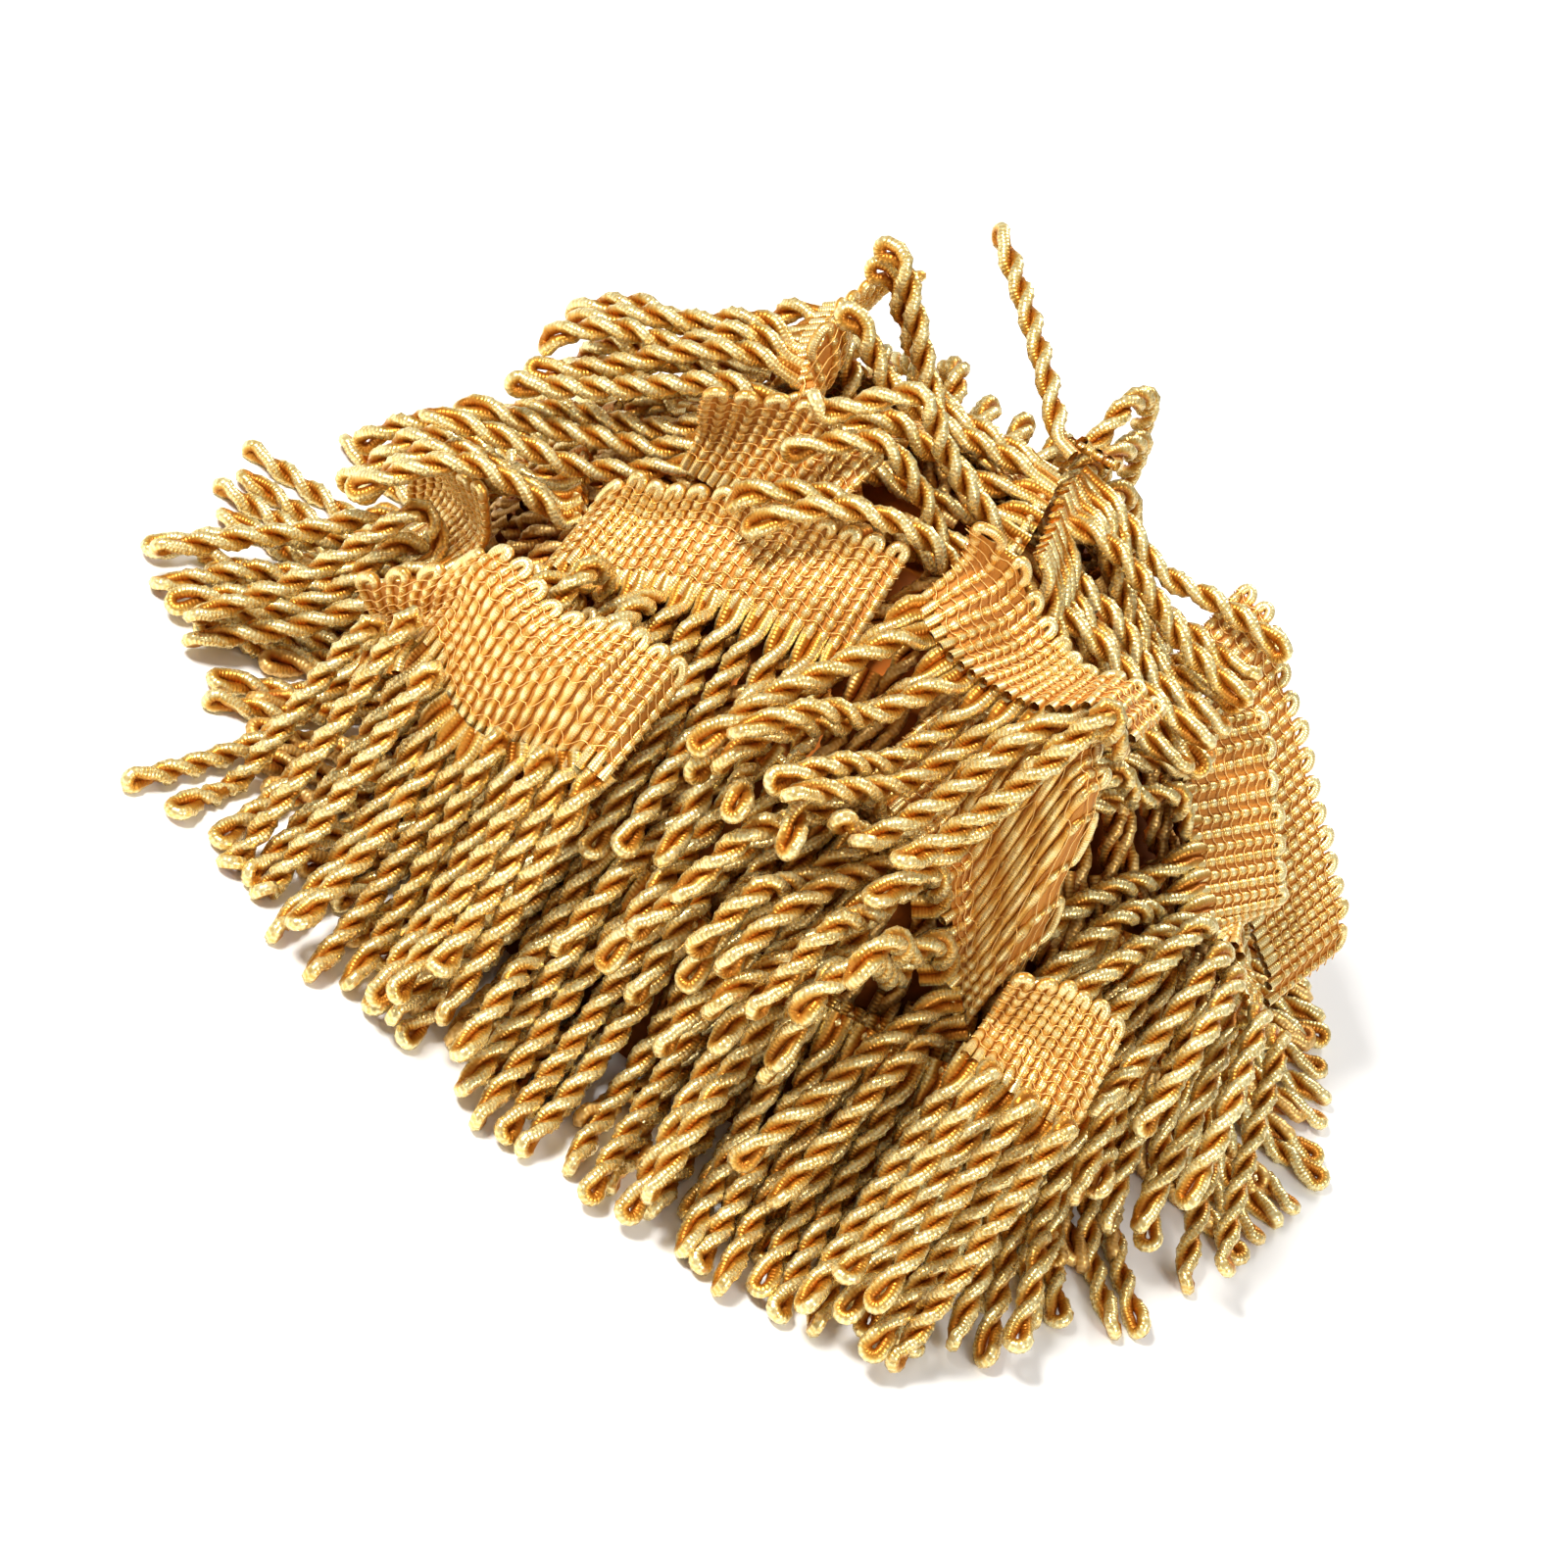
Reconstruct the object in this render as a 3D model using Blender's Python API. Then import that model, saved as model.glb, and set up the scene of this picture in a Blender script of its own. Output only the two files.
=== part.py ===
"""Gold bullion fringe, a long tassel trim, lying in a heap: metres, +Z up.

The trim is one woven heading with twisted cords hanging from its lower edge. The heap is a
core of hidden turns with the stretches of the trim that show laid over it, one after another.
A pile keeps the height of all that lies already, and each new piece comes to rest on it.
"""

import math
import random
from collections import namedtuple

import bpy
import numpy as np

# The trim
HEADING_WIDTH = 0.024
HEADING_THICK = 0.0024
STRAND_LENGTH = 0.060
STRAND_THICK = 0.0052
STRAND_PITCH = 0.0063
BACK_PITCH = 0.0076
STRIP_DEPTH = 0.0028
STRIP_THICK = 0.0044
GAP = 0.0004

# The heap's outside
HALF_X = 0.138
HALF_Y = 0.122
HEIGHT = 0.126
RIM_MEAN = 0.97
RIM_LEAN = 0.07
RIM_LEAN_BEARING = 75
RIM_OVAL = 0.04
RIM_OVAL_BEARING = 90
SHOULDER = 2.3
CROWN = 0.8

# The hidden turns in its middle
COVER = 0.025
CORE_SIDES = 36
CORE_RINGS = 9
CORE_TURNS = 4
CORE_RIDGE = 0.003

# How things are laid
CELL = 0.001
FIELD = 0.2
PLAN_STEP = 0.002
STEEPEST = 2.6
CLIMB = 1.3
EASING = 16
ROOT_STIFFNESS = 8
HEADING_STIFFNESS = 12
STRAND_RINGS = (0.20, 0.44, 0.69, 0.94)
STRAND_GIRTH = (1.0, 1.03, 0.98, 0.86)
HEADING_PARTS = 3
FLOW_SPREAD = 4
BEND_SPREAD = 9
LENGTH_SPREAD = 0.003
SEED = 11

GOLD = (0.80, 0.52, 0.16, 1)
DEEP_GOLD = (0.55, 0.27, 0.06, 1)
SATIN = 0.42

Row = namedtuple("Row", "bearing reach flow stand curl")
Stretch = namedtuple("Stretch", "name shows pitch rise rows")
BOTH, CORDS, HEADING = "both", "cords", "heading"

# Where each stretch's root line runs, in the order of laying. Shows says whether the stretch has
# its cords, its heading or both in sight. A bearing is in degrees round the heap, 0 at the front
# and 90 at +X. Reach is 0 at the top and 1 at the rim. Flow is the bearing in which the cords
# run. Stand is how far the heading is turned up from lying on the heap, and curl is how much
# more it turns by its scalloped edge. Rise lifts the cords off the heap.
STRETCHES = (
    Stretch("rim_back_left", CORDS, BACK_PITCH, 0, (
        Row(256, 0.76, 252, 0, 0),
        Row(232, 0.76, 228, 0, 0),
        Row(208, 0.76, 206, 0, 0),
        Row(188, 0.76, 188, 0, 0),
    )),
    Stretch("rim_back_right", CORDS, BACK_PITCH, 0, (
        Row(182, 0.76, 180, 0, 0),
        Row(160, 0.76, 162, 0, 0),
        Row(140, 0.76, 140, 0, 0),
        Row(121, 0.76, 118, 0, 0),
    )),
    Stretch("rim_left", CORDS, STRAND_PITCH, 0, (
        Row(302, 0.76, 306, 0, 0),
        Row(281, 0.79, 280, 0, 0),
        Row(260, 0.79, 262, 0, 0),
    )),
    Stretch("rim_right", CORDS, STRAND_PITCH, 0, (
        Row(70, 0.74, 60, 0, 0),
        Row(92, 0.75, 88, 0, 0),
        Row(116, 0.75, 108, 0, 0),
    )),
    Stretch("left_lump", BOTH, STRAND_PITCH, 0, (
        Row(289, 0.78, 312, 40, 20),
        Row(278, 0.83, 309, 50, 40),
        Row(268, 0.89, 305, 55, 60),
    )),
    Stretch("rim_front_left", CORDS, STRAND_PITCH, 0, (
        Row(306, 0.74, 328, 0, 0),
        Row(322, 0.73, 342, 0, 0),
        Row(341, 0.72, 350, 0, 0),
        Row(359, 0.72, 356, 0, 0),
    )),
    Stretch("rim_front_right", CORDS, STRAND_PITCH, 0, (
        Row(4, 0.72, 357, 0, 0),
        Row(24, 0.73, 3, 0, 0),
        Row(44, 0.74, 14, 0, 0),
        Row(64, 0.76, 36, 0, 0),
    )),
    Stretch("front_low", CORDS, STRAND_PITCH, 0, (
        Row(332, 0.80, 350, 0, 0),
        Row(352, 0.78, 354, 0, 0),
        Row(12, 0.78, 358, 0, 0),
        Row(32, 0.80, 4, 0, 0),
        Row(50, 0.82, 14, 0, 0),
    )),
    Stretch("back_left", BOTH, BACK_PITCH, 0, (
        Row(252, 0.55, 250, 12, 0),
        Row(224, 0.55, 224, 20, 0),
        Row(196, 0.55, 198, 12, 0),
    )),
    Stretch("back_right", BOTH, BACK_PITCH, 0, (
        Row(186, 0.52, 184, 12, 0),
        Row(158, 0.54, 160, 20, 0),
        Row(132, 0.54, 136, 12, 0),
    )),
    Stretch("back_top", BOTH, BACK_PITCH, 0, (
        Row(236, 0.32, 226, 12, 0),
        Row(192, 0.30, 188, 16, 0),
        Row(140, 0.32, 150, 12, 0),
    )),
    Stretch("left_low", CORDS, STRAND_PITCH, 0, (
        Row(290, 0.62, 288, 0, 0),
        Row(272, 0.64, 274, 0, 0),
        Row(254, 0.64, 258, 0, 0),
    )),
    Stretch("front_under", CORDS, STRAND_PITCH, 0, (
        Row(346, 0.56, 352, 0, 0),
        Row(4, 0.56, 356, 0, 0),
        Row(22, 0.60, 0, 0, 0),
    )),
    Stretch("small_band", HEADING, STRAND_PITCH, 0, (
        Row(312, 0.80, 350, 5, 0),
        Row(326, 0.76, 355, 10, 0),
        Row(340, 0.76, 358, 10, 0),
    )),
    Stretch("right_hang", CORDS, STRAND_PITCH, 0, (
        Row(50, 0.62, 356, 0, 0),
        Row(62, 0.66, 6, 0, 0),
        Row(76, 0.70, 24, 0, 0),
    )),
    Stretch("outer_band", HEADING, STRAND_PITCH, 0, (
        Row(112, 0.46, 300, 60, 0),
        Row(101, 0.60, 300, 60, 0),
        Row(94, 0.74, 320, 55, 0),
        Row(90, 0.85, 350, 40, 0),
    )),
    Stretch("right_band", BOTH, STRAND_PITCH, 0, (
        Row(86, 0.46, 318, 32, 0),
        Row(79, 0.55, 322, 30, 0),
        Row(74, 0.64, 335, 25, 0),
        Row(72, 0.72, 352, 20, 0),
        Row(76, 0.79, 8, 15, 0),
        Row(83, 0.84, 20, 15, 0),
    )),
    Stretch("left_high", CORDS, STRAND_PITCH, 0, (
        Row(284, 0.46, 284, 0, 0),
        Row(266, 0.44, 272, 0, 0),
        Row(248, 0.44, 258, 0, 0),
    )),
    Stretch("middle_band", BOTH, STRAND_PITCH, 0, (
        Row(10, 0.50, 332, 12, 0),
        Row(20, 0.58, 334, 12, 0),
        Row(27, 0.66, 338, 12, 0),
        Row(32, 0.75, 342, 12, 0),
    )),
    Stretch("top_left_fold", BOTH, STRAND_PITCH, 0, (
        Row(266, 0.36, 284, 55, 20),
        Row(244, 0.42, 276, 60, 20),
        Row(226, 0.52, 266, 50, 0),
    )),
    Stretch("upper_loop", HEADING, STRAND_PITCH, 0, (
        Row(286, 0.50, 322, 50, 30),
        Row(295, 0.42, 332, 50, 20),
        Row(310, 0.35, 342, 50, 0),
        Row(324, 0.31, 348, 45, 0),
    )),
    Stretch("great_band", BOTH, STRAND_PITCH, 0, (
        Row(300, 0.69, 335, 12, 0),
        Row(308, 0.61, 345, 16, 0),
        Row(317, 0.53, 353, 18, 0),
        Row(330, 0.47, 0, 20, 0),
        Row(343, 0.43, 4, 22, 0),
        Row(356, 0.40, 7, 25, 0),
    )),
    Stretch("left_band", BOTH, STRAND_PITCH, 0, (
        Row(300, 0.92, 336, 50, 20),
        Row(307, 0.94, 346, 40, 10),
        Row(315, 0.94, 351, 30, 0),
        Row(324, 0.92, 355, 22, 0),
        Row(333, 0.89, 358, 18, 0),
        Row(342, 0.85, 0, 15, 0),
    )),
    Stretch("low_band", BOTH, STRAND_PITCH, 0, (
        Row(29, 0.84, 350, 25, 10),
        Row(34, 0.89, 352, 20, 0),
        Row(40, 0.94, 354, 20, 0),
    )),
    Stretch("fold_band", BOTH, STRAND_PITCH, 0, (
        Row(2, 0.33, 335, 95, 10),
        Row(9, 0.38, 330, 60, 0),
        Row(17, 0.43, 326, 35, 0),
        Row(25, 0.49, 324, 25, 0),
        Row(33, 0.55, 326, 18, 0),
        Row(39, 0.61, 328, 15, 0),
    )),
    Stretch("parting_left", CORDS, STRAND_PITCH, 0, (
        Row(20, 0.24, 290, 0, 0),
        Row(50, 0.13, 283, 0, 0),
        Row(126, 0.13, 276, 0, 0),
        Row(160, 0.27, 268, 0, 0),
    )),
    Stretch("parting_right", CORDS, STRAND_PITCH, 0, (
        Row(34, 0.25, 84, 0, 0),
        Row(84, 0.14, 86, 0, 0),
        Row(136, 0.20, 84, 0, 0),
        Row(152, 0.34, 90, 0, 0),
    )),
    Stretch("stray_cord", CORDS, STRAND_PITCH, 14, (
        Row(150, 0.20, 216, 0, 0),
        Row(152, 0.26, 216, 0, 0),
    )),
    Stretch("stray_tuft", CORDS, STRAND_PITCH, 0, (
        Row(146, 0.34, 172, 0, 0),
        Row(162, 0.34, 166, 0, 0),
    )),
)


def rim(bearing):
    """How far the heap's rim lies out at a bearing, against its mean ellipse."""
    lean = RIM_LEAN * math.cos(math.radians(bearing - RIM_LEAN_BEARING))
    return RIM_MEAN + lean + RIM_OVAL * math.cos(math.radians(2 * bearing - RIM_OVAL_BEARING))


def towards(bearing):
    """The plan direction of a bearing."""
    return np.array((math.sin(math.radians(bearing)), -math.cos(math.radians(bearing))))


def on_plan(bearing, reach, inset=0.0):
    """The plan point at a bearing and a reach, on a heap made smaller by the inset."""
    away = towards(bearing) * reach * rim(bearing)
    return away * np.array((HALF_X - inset, HALF_Y - inset))


def heap_height(reach, height):
    """The height of a heap's outside at a reach."""
    return height * max(0.0, 1 - reach**SHOULDER) ** CROWN


class Pile:
    """The height of what has been laid, in cells over the floor."""

    def __init__(self):
        self.count = round(2 * FIELD / CELL)
        self.top = self.empty()

    def empty(self):
        return np.zeros((self.count, self.count))

    def cell(self, value):
        return int(round((value + FIELD) / CELL - 0.5))

    def highest(self, point, radius):
        """The greatest height within a radius of a plan point."""
        x, y = self.cell(point[0]), self.cell(point[1])
        reach = int(math.ceil(radius / CELL))
        return float(self.top[x - reach : x + reach + 1, y - reach : y + reach + 1].max())

    def cover(self, corners):
        """The cells under a triangle, and the lowest and highest that it gets in each."""
        low, high = corners.min(axis=0), corners.max(axis=0)
        xs = np.arange(self.cell(low[0]), self.cell(high[0]) + 1)
        ys = np.arange(self.cell(low[1]), self.cell(high[1]) + 1)
        a, b, c = corners
        area = (b[0] - a[0]) * (c[1] - a[1]) - (c[0] - a[0]) * (b[1] - a[1])
        if abs(area) < 1e-12:
            return None
        px = (xs[:, None] + 0.5) * CELL - FIELD - a[0]
        py = (ys[None, :] + 0.5) * CELL - FIELD - a[1]
        u = (px * (c[1] - a[1]) - (c[0] - a[0]) * py) / area
        v = ((b[0] - a[0]) * py - px * (b[1] - a[1])) / area
        inside = (u >= 0) & (v >= 0) & (u + v <= 1)
        height = a[2] + u * (b[2] - a[2]) + v * (c[2] - a[2])
        slope_x = ((b[2] - a[2]) * (c[1] - a[1]) - (c[2] - a[2]) * (b[1] - a[1])) / area
        slope_y = ((b[0] - a[0]) * (c[2] - a[2]) - (c[0] - a[0]) * (b[2] - a[2])) / area
        margin = 0.5 * CELL * (abs(slope_x) + abs(slope_y))
        under = np.maximum(height - margin, low[2])
        over = np.minimum(height + margin, high[2])
        return np.ix_(xs, ys), inside, under, over

    def stamp(self, field, triangles):
        """Raises the field's cells to the top of the triangles."""
        for corners in triangles:
            covered = self.cover(corners)
            if covered:
                cells, inside, _, over = covered
                field[cells] = np.where(inside, np.maximum(field[cells], over), field[cells])

    def sunk(self, field, corners):
        """How far a triangle's underside is below the field plus the gap."""
        covered = self.cover(corners)
        if not covered or not covered[1].any():
            return 0.0
        cells, inside, under, _ = covered
        need = np.where(field[cells] > 0, field[cells] + GAP, 0.0)
        return float((need - under)[inside].max())


def widened(field):
    """The field with each cell raised to its highest neighbour."""
    out = field.copy()
    for axis in (0, 1):
        for shift in (-1, 1):
            out = np.maximum(out, np.roll(out, shift, axis))
    return out


def eased(values, passes):
    """The values with each one drawn towards its neighbours along the first axis."""
    values = np.array(values, float)
    for _ in range(passes):
        inner = (values[:-2] + 2 * values[1:-1] + values[2:]) / 4
        values[1:-1] = inner
    return values


def held_up(values, passes):
    """The values raised so that a stiff band over them bridges the hollows between high ones."""
    for _ in range(3):
        values = np.maximum(values, eased(values, passes))
    return values


def spline(values, at):
    """Catmull-Rom through rows of values, at a place counted in rows."""
    last = len(values) - 1
    k = min(int(at), last - 1)
    t = at - k
    before, start, end, after = (values[min(max(k + i, 0), last)] for i in (-1, 0, 1, 2))
    return 0.5 * (
        2 * start
        + (end - before) * t
        + (2 * before - 5 * start + 4 * end - after) * t**2
        + (3 * start - before - 3 * end + after) * t**3
    )


def stations(stretch):
    """Plan points one cord apart along a stretch's root line, with flow, stand and curl."""
    rows = []
    flow = stretch.rows[0].flow
    for row in stretch.rows:
        flow += (row.flow - flow + 180) % 360 - 180
        x, y = on_plan(row.bearing, row.reach)
        rows.append((x, y, heap_height(row.reach, HEIGHT), flow, row.stand, row.curl))
    rows = np.array(rows)
    fine = np.linspace(0, len(rows) - 1, 40 * (len(rows) - 1) + 1)
    line = np.array([spline(rows, at) for at in fine])
    run = np.concatenate(([0], np.cumsum(np.linalg.norm(np.diff(line[:, :3], axis=0), axis=1))))
    count = max(1, round(run[-1] / stretch.pitch))
    places = np.linspace(0, run[-1], count + 1)
    return np.array([[np.interp(p, run, line[:, k]) for k in range(6)] for p in places])


def hang_sides(points, flows):
    """At each station, the plan direction square to the root line on the cords' side."""
    along = np.gradient(points, axis=0)
    along /= np.linalg.norm(along, axis=1)[:, None]
    sides = np.stack((along[:, 1], -along[:, 0]), axis=1)
    agreeing = sum(side @ towards(flow) for side, flow in zip(sides, flows))
    return sides if agreeing > 0 else -sides


def drape(required, start, step):
    """A limp line of heights over the required ones, easing off what it meets."""
    line = required.copy()
    line[0] = start
    for k in range(1, len(line)):
        line[k] = max(line[k], line[k - 1] - STEEPEST * step)
    for k in range(len(line) - 2, 0, -1):
        line[k] = max(line[k], line[k + 1] - CLIMB * step)
    for _ in range(EASING):
        line[1:-1] = np.maximum(line[1:-1], (line[:-2] + line[2:]) / 2)
    return line


def quads(ring_a, ring_b):
    """Triangles between two rings of vertex numbers."""
    faces = []
    size = len(ring_a)
    for k in range(size):
        n = (k + 1) % size
        faces += [(ring_a[k], ring_a[n], ring_b[n]), (ring_a[k], ring_b[n], ring_b[k])]
    return faces


class Solid:
    """Vertices and triangles of one node as it grows."""

    def __init__(self):
        self.points = []
        self.faces = []

    def add(self, points):
        first = len(self.points)
        self.points += [np.array(p, float) for p in points]
        return list(range(first, len(self.points)))

    def corners(self, faces):
        return [np.array([self.points[v] for v in face]) for face in faces]


def cross_ring(centre, along, width, thick):
    """Four corners round a cord's centre, the way its root goes round. A negative width mirrors it."""
    side = np.cross(along, (0, 0, 1))
    side /= np.linalg.norm(side)
    up = np.cross(side, along)
    side, up = side * width / 2, up * thick / 2
    return [centre + up + side, centre + up - side, centre - up - side, centre - up + side]


def strand_rings(centre, bearing, bend, slope, length, rise, pile):
    """Ring centres and directions of one cord, laid on the pile from its root."""
    steps = int(1.1 * length / PLAN_STEP)
    turn = np.radians(bearing + bend * np.linspace(0, 1, steps + 1) ** 1.5)
    moves = np.stack((np.sin(turn), -np.cos(turn)), axis=1) * PLAN_STEP
    plan = centre[:2] + np.concatenate((np.zeros((1, 2)), np.cumsum(moves[:-1], axis=0)))
    half = STRAND_THICK / 2
    rest = np.array([pile.highest(p, half) for p in plan])
    steep = np.clip(np.abs(np.gradient(rest, PLAN_STEP)), 0, 1.6)
    required = rest + np.where(rest > 0, GAP + half * np.sqrt(1 + steep**2), half)
    away = PLAN_STEP * np.arange(steps + 1)
    if rise:
        climb = math.tan(math.radians(rise))
        free = centre[2] + climb * away - climb * away**2 / (4 * length)
        required = np.maximum(required, free)
    required[:2] = np.minimum(required[:2], centre[2] + slope * away[:2])
    heights = drape(required, centre[2], PLAN_STEP)
    line = np.column_stack((plan, heights))
    run = np.concatenate(([0], np.cumsum(np.linalg.norm(np.diff(line, axis=0), axis=1))))
    at = [np.array([np.interp(length * f, run, line[:, k]) for k in range(3)])
          for f in (*STRAND_RINGS, 1.0)]
    return at


def build_strand(solid, root, centre, rings, hand, pile, field, own):
    """Adds one cord to its fringe, raised until it clears what lies below."""
    joints = [centre] + rings
    for _ in range(8):
        shape = Solid()
        numbers = []
        for k, girth in enumerate(STRAND_GIRTH, start=1):
            along = joints[k + 1] - joints[k - 1]
            along /= np.linalg.norm(along)
            thick = STRAND_THICK * girth
            numbers.append(shape.add(cross_ring(joints[k], along, hand * thick, thick)))
        tip = shape.add([joints[-1]])[0]
        start = shape.add([solid.points[v] for v in root])
        loops = [start] + numbers
        lifts = np.zeros(len(joints))
        for k in range(len(loops) - 1):
            for corners in shape.corners(quads(loops[k], loops[k + 1])):
                deep = pile.sunk(field, corners)
                if k:
                    deep = max(deep, pile.sunk(own, corners))
                lifts[k], lifts[k + 1] = max(lifts[k], deep), max(lifts[k + 1], deep)
        lifts[0] = 0
        lifts[-1] = max(lifts[-1], lifts[-2])
        if lifts.max() <= 0:
            break
        joints = [joint + (0, 0, 1.02 * lift) for joint, lift in zip(joints, lifts)]
    rings_in = [solid.add([shape.points[v] for v in loop]) for loop in numbers]
    tip_in = solid.add([shape.points[tip]])[0]
    faces = []
    for a, b in zip([root] + rings_in, rings_in):
        faces += quads(a, b)
    last = rings_in[-1]
    faces += [(last[k], last[(k + 1) % 4], tip_in) for k in range(4)]
    solid.faces += faces
    pile.stamp(own, solid.corners(faces))


def root_levels(line, sides, pile):
    """How high a stretch's root line lies, and how steeply it falls towards the cords."""
    points = line[:, :2]
    half = STRIP_THICK / 2
    ahead = np.array([pile.highest(p + 0.010 * s, 0.003) for p, s in zip(points, sides)])
    behind = np.array([pile.highest(p - 0.010 * s, 0.003) for p, s in zip(points, sides)])
    slopes = eased(np.clip((ahead - behind) / 0.020, -1.7, 0.3), 2)
    floor_levels = np.array([pile.highest(p + 0.003 * s, 0.0045) for p, s in zip(points, sides)])
    levels = floor_levels + GAP + half * np.sqrt(1 + slopes**2)
    return held_up(levels, ROOT_STIFFNESS), slopes


def build_fringe(stretch, line, sides, levels, slopes, pile, field, own, random_source):
    """The strip of a stretch with its cords. Returns it with its final levels."""
    points = line[:, :2]
    half = STRIP_THICK / 2
    for _ in range(12):
        solid = Solid()
        loops = []
        for p, side, slope, level in zip(points, sides, slopes, levels):
            flat = 1 / math.hypot(1, slope)
            run = np.array((side[0] * flat, side[1] * flat, slope * flat))
            up = np.array((-side[0] * slope * flat, -side[1] * slope * flat, flat))
            back = np.array((p[0], p[1], level))
            front = back + STRIP_DEPTH * run
            loops.append(solid.add(
                [front + half * up, back + half * up, back - half * up, front - half * up]))
        lifts = np.zeros(len(loops))
        for k in range(len(loops) - 1):
            for corners in solid.corners(quads(loops[k], loops[k + 1])):
                deep = pile.sunk(field, corners)
                lifts[k], lifts[k + 1] = max(lifts[k], deep), max(lifts[k + 1], deep)
        if lifts.max() <= 0:
            break
        levels = held_up(levels + 1.02 * lifts, 2)
    hand = -1 if np.cross(points[1] - points[0], sides[0]) > 0 else 1
    for a, b in zip(loops, loops[1:]):
        for k in range(3):
            solid.faces += [(a[k], a[k + 1], b[k + 1]), (a[k], b[k + 1], b[k])]
    first, last = loops[0], loops[-1]
    solid.faces += [(first[3], first[2], first[1]), (first[3], first[1], first[0])]
    solid.faces += [(last[0], last[1], last[2]), (last[0], last[2], last[3])]
    order = list(range(0, len(loops) - 1, 2)) + list(range(1, len(loops) - 1, 2))
    for k in order:
        a, b = loops[k], loops[k + 1]
        root = [a[0], b[0], b[3], a[3]]
        centre = np.mean([solid.points[v] for v in root], axis=0)
        flow = (line[k, 3] + line[k + 1, 3]) / 2 + random_source.uniform(-1, 1) * FLOW_SPREAD
        bend = random_source.uniform(-1, 1) * BEND_SPREAD
        length = STRAND_LENGTH + random_source.uniform(-1, 1) * LENGTH_SPREAD
        rings = strand_rings(centre, flow, bend, slopes[k], length, stretch.rise, pile)
        build_strand(solid, root, centre, rings, hand, pile, field, own)
    pile.stamp(own, solid.corners(solid.faces[: 6 * (len(loops) - 1)]))
    return solid, levels


def build_heading(line, sides, levels, slopes, pile, field, own):
    """The woven heading of a stretch, from its root line to its scalloped edge."""
    part = HEADING_WIDTH / HEADING_PARTS
    half = HEADING_THICK / 2
    rest = []
    for row, side, level in zip(line, sides, levels):
        angles = []
        height = level
        for k in range(HEADING_PARTS):
            there = row[:2] - side * part * (k + 1) * 0.8
            target = pile.highest(there, 0.004) + GAP + 1.5 * half
            angles.append(math.atan2(target - height, 0.8 * part))
            height = max(height + part * math.sin(angles[-1]), target)
        rest.append(angles)
    rest = np.clip(eased(rest, HEADING_STIFFNESS), math.radians(-25), math.radians(70))
    share = (np.arange(HEADING_PARTS) + 0.5) / HEADING_PARTS
    angles = rest + np.radians(line[:, 4:5] + line[:, 5:6] * share)
    lift = np.zeros((len(line), HEADING_PARTS + 1))
    for _ in range(12):
        solid = Solid()
        loops = []
        for i, (row, side) in enumerate(zip(line, sides)):
            lean = angles[i]
            back = GAP + half * abs(math.sin(lean[0] + math.atan(slopes[i])))
            spot = np.array((-back, levels[i] - slopes[i] * back))
            spots = [spot]
            for angle in lean:
                spot = spot + part * np.array((-math.cos(angle), math.sin(angle)))
                spots.append(spot)
            bisect = np.concatenate((lean[:1], (lean[:-1] + lean[1:]) / 2, lean[-1:]))
            normals = [np.array((math.sin(b), math.cos(b))) for b in bisect]
            upper, lower = [], []
            for k, (spot, normal) in enumerate(zip(spots, normals)):
                for ring, sign in ((upper, 1), (lower, -1)):
                    flat = spot + sign * half * normal
                    x, y = row[:2] + side * flat[0]
                    ring.append(np.array((x, y, flat[1] + lift[i, k])))
            loops.append(solid.add(upper + lower[::-1]))
        worst = np.zeros_like(lift)
        size = 2 * (HEADING_PARTS + 1)
        for i in range(len(loops) - 1):
            for n, corners in enumerate(solid.corners(quads(loops[i], loops[i + 1]))):
                k = n // 2
                columns = {min(k, size - 1 - k), min((k + 1) % size, size - 1 - (k + 1) % size)}
                deep = max(pile.sunk(field, corners), pile.sunk(own, corners))
                for column in columns:
                    worst[i, column] = max(worst[i, column], deep)
                    worst[i + 1, column] = max(worst[i + 1, column], deep)
        if worst.max() <= 0:
            break
        lift = held_up(lift + 1.02 * worst, 2)
    for a, b in zip(loops, loops[1:]):
        solid.faces += quads(a, b)
    for loop, order in ((loops[0], 1), (loops[-1], -1)):
        for k in range(HEADING_PARTS):
            corners = [loop[k], loop[size - 1 - k], loop[size - 2 - k], loop[k + 1]][::order]
            solid.faces += [tuple(corners[:3]), (corners[0], corners[2], corners[3])]
    return solid


def build_core():
    """The hidden turns: a low mound with a wound ridge up it and a flat underside."""
    solid = Solid()
    rings = []
    for ring in range(CORE_RINGS):
        reach = 1 - ring / CORE_RINGS
        loop = []
        for side in range(CORE_SIDES):
            bearing = 360 * side / CORE_SIDES
            turn = math.cos(2 * math.pi * CORE_TURNS * (reach - bearing / 360 / CORE_TURNS))
            ridge = CORE_RIDGE * turn if ring else 0.0
            x, y = on_plan(bearing, reach, COVER)
            level = heap_height(reach, HEIGHT - COVER) + ridge
            loop.append((x, y, max(level, 0.0)))
        rings.append(solid.add(loop))
    top = solid.add([(0, 0, HEIGHT - COVER)])[0]
    for lower, upper in zip(rings, rings[1:]):
        solid.faces += quads(lower, upper)
    last = rings[-1]
    solid.faces += [(last[k], last[(k + 1) % CORE_SIDES], top) for k in range(CORE_SIDES)]
    base = rings[0]
    solid.faces += [(base[0], base[k + 1], base[k]) for k in range(1, CORE_SIDES - 1)]
    return solid


def facing_out(solid):
    """The faces, turned round if the solid is inside out."""
    volume = sum(np.dot(c[0], np.cross(c[1], c[2])) for c in solid.corners(solid.faces))
    return solid.faces if volume > 0 else [face[::-1] for face in solid.faces]


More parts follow.
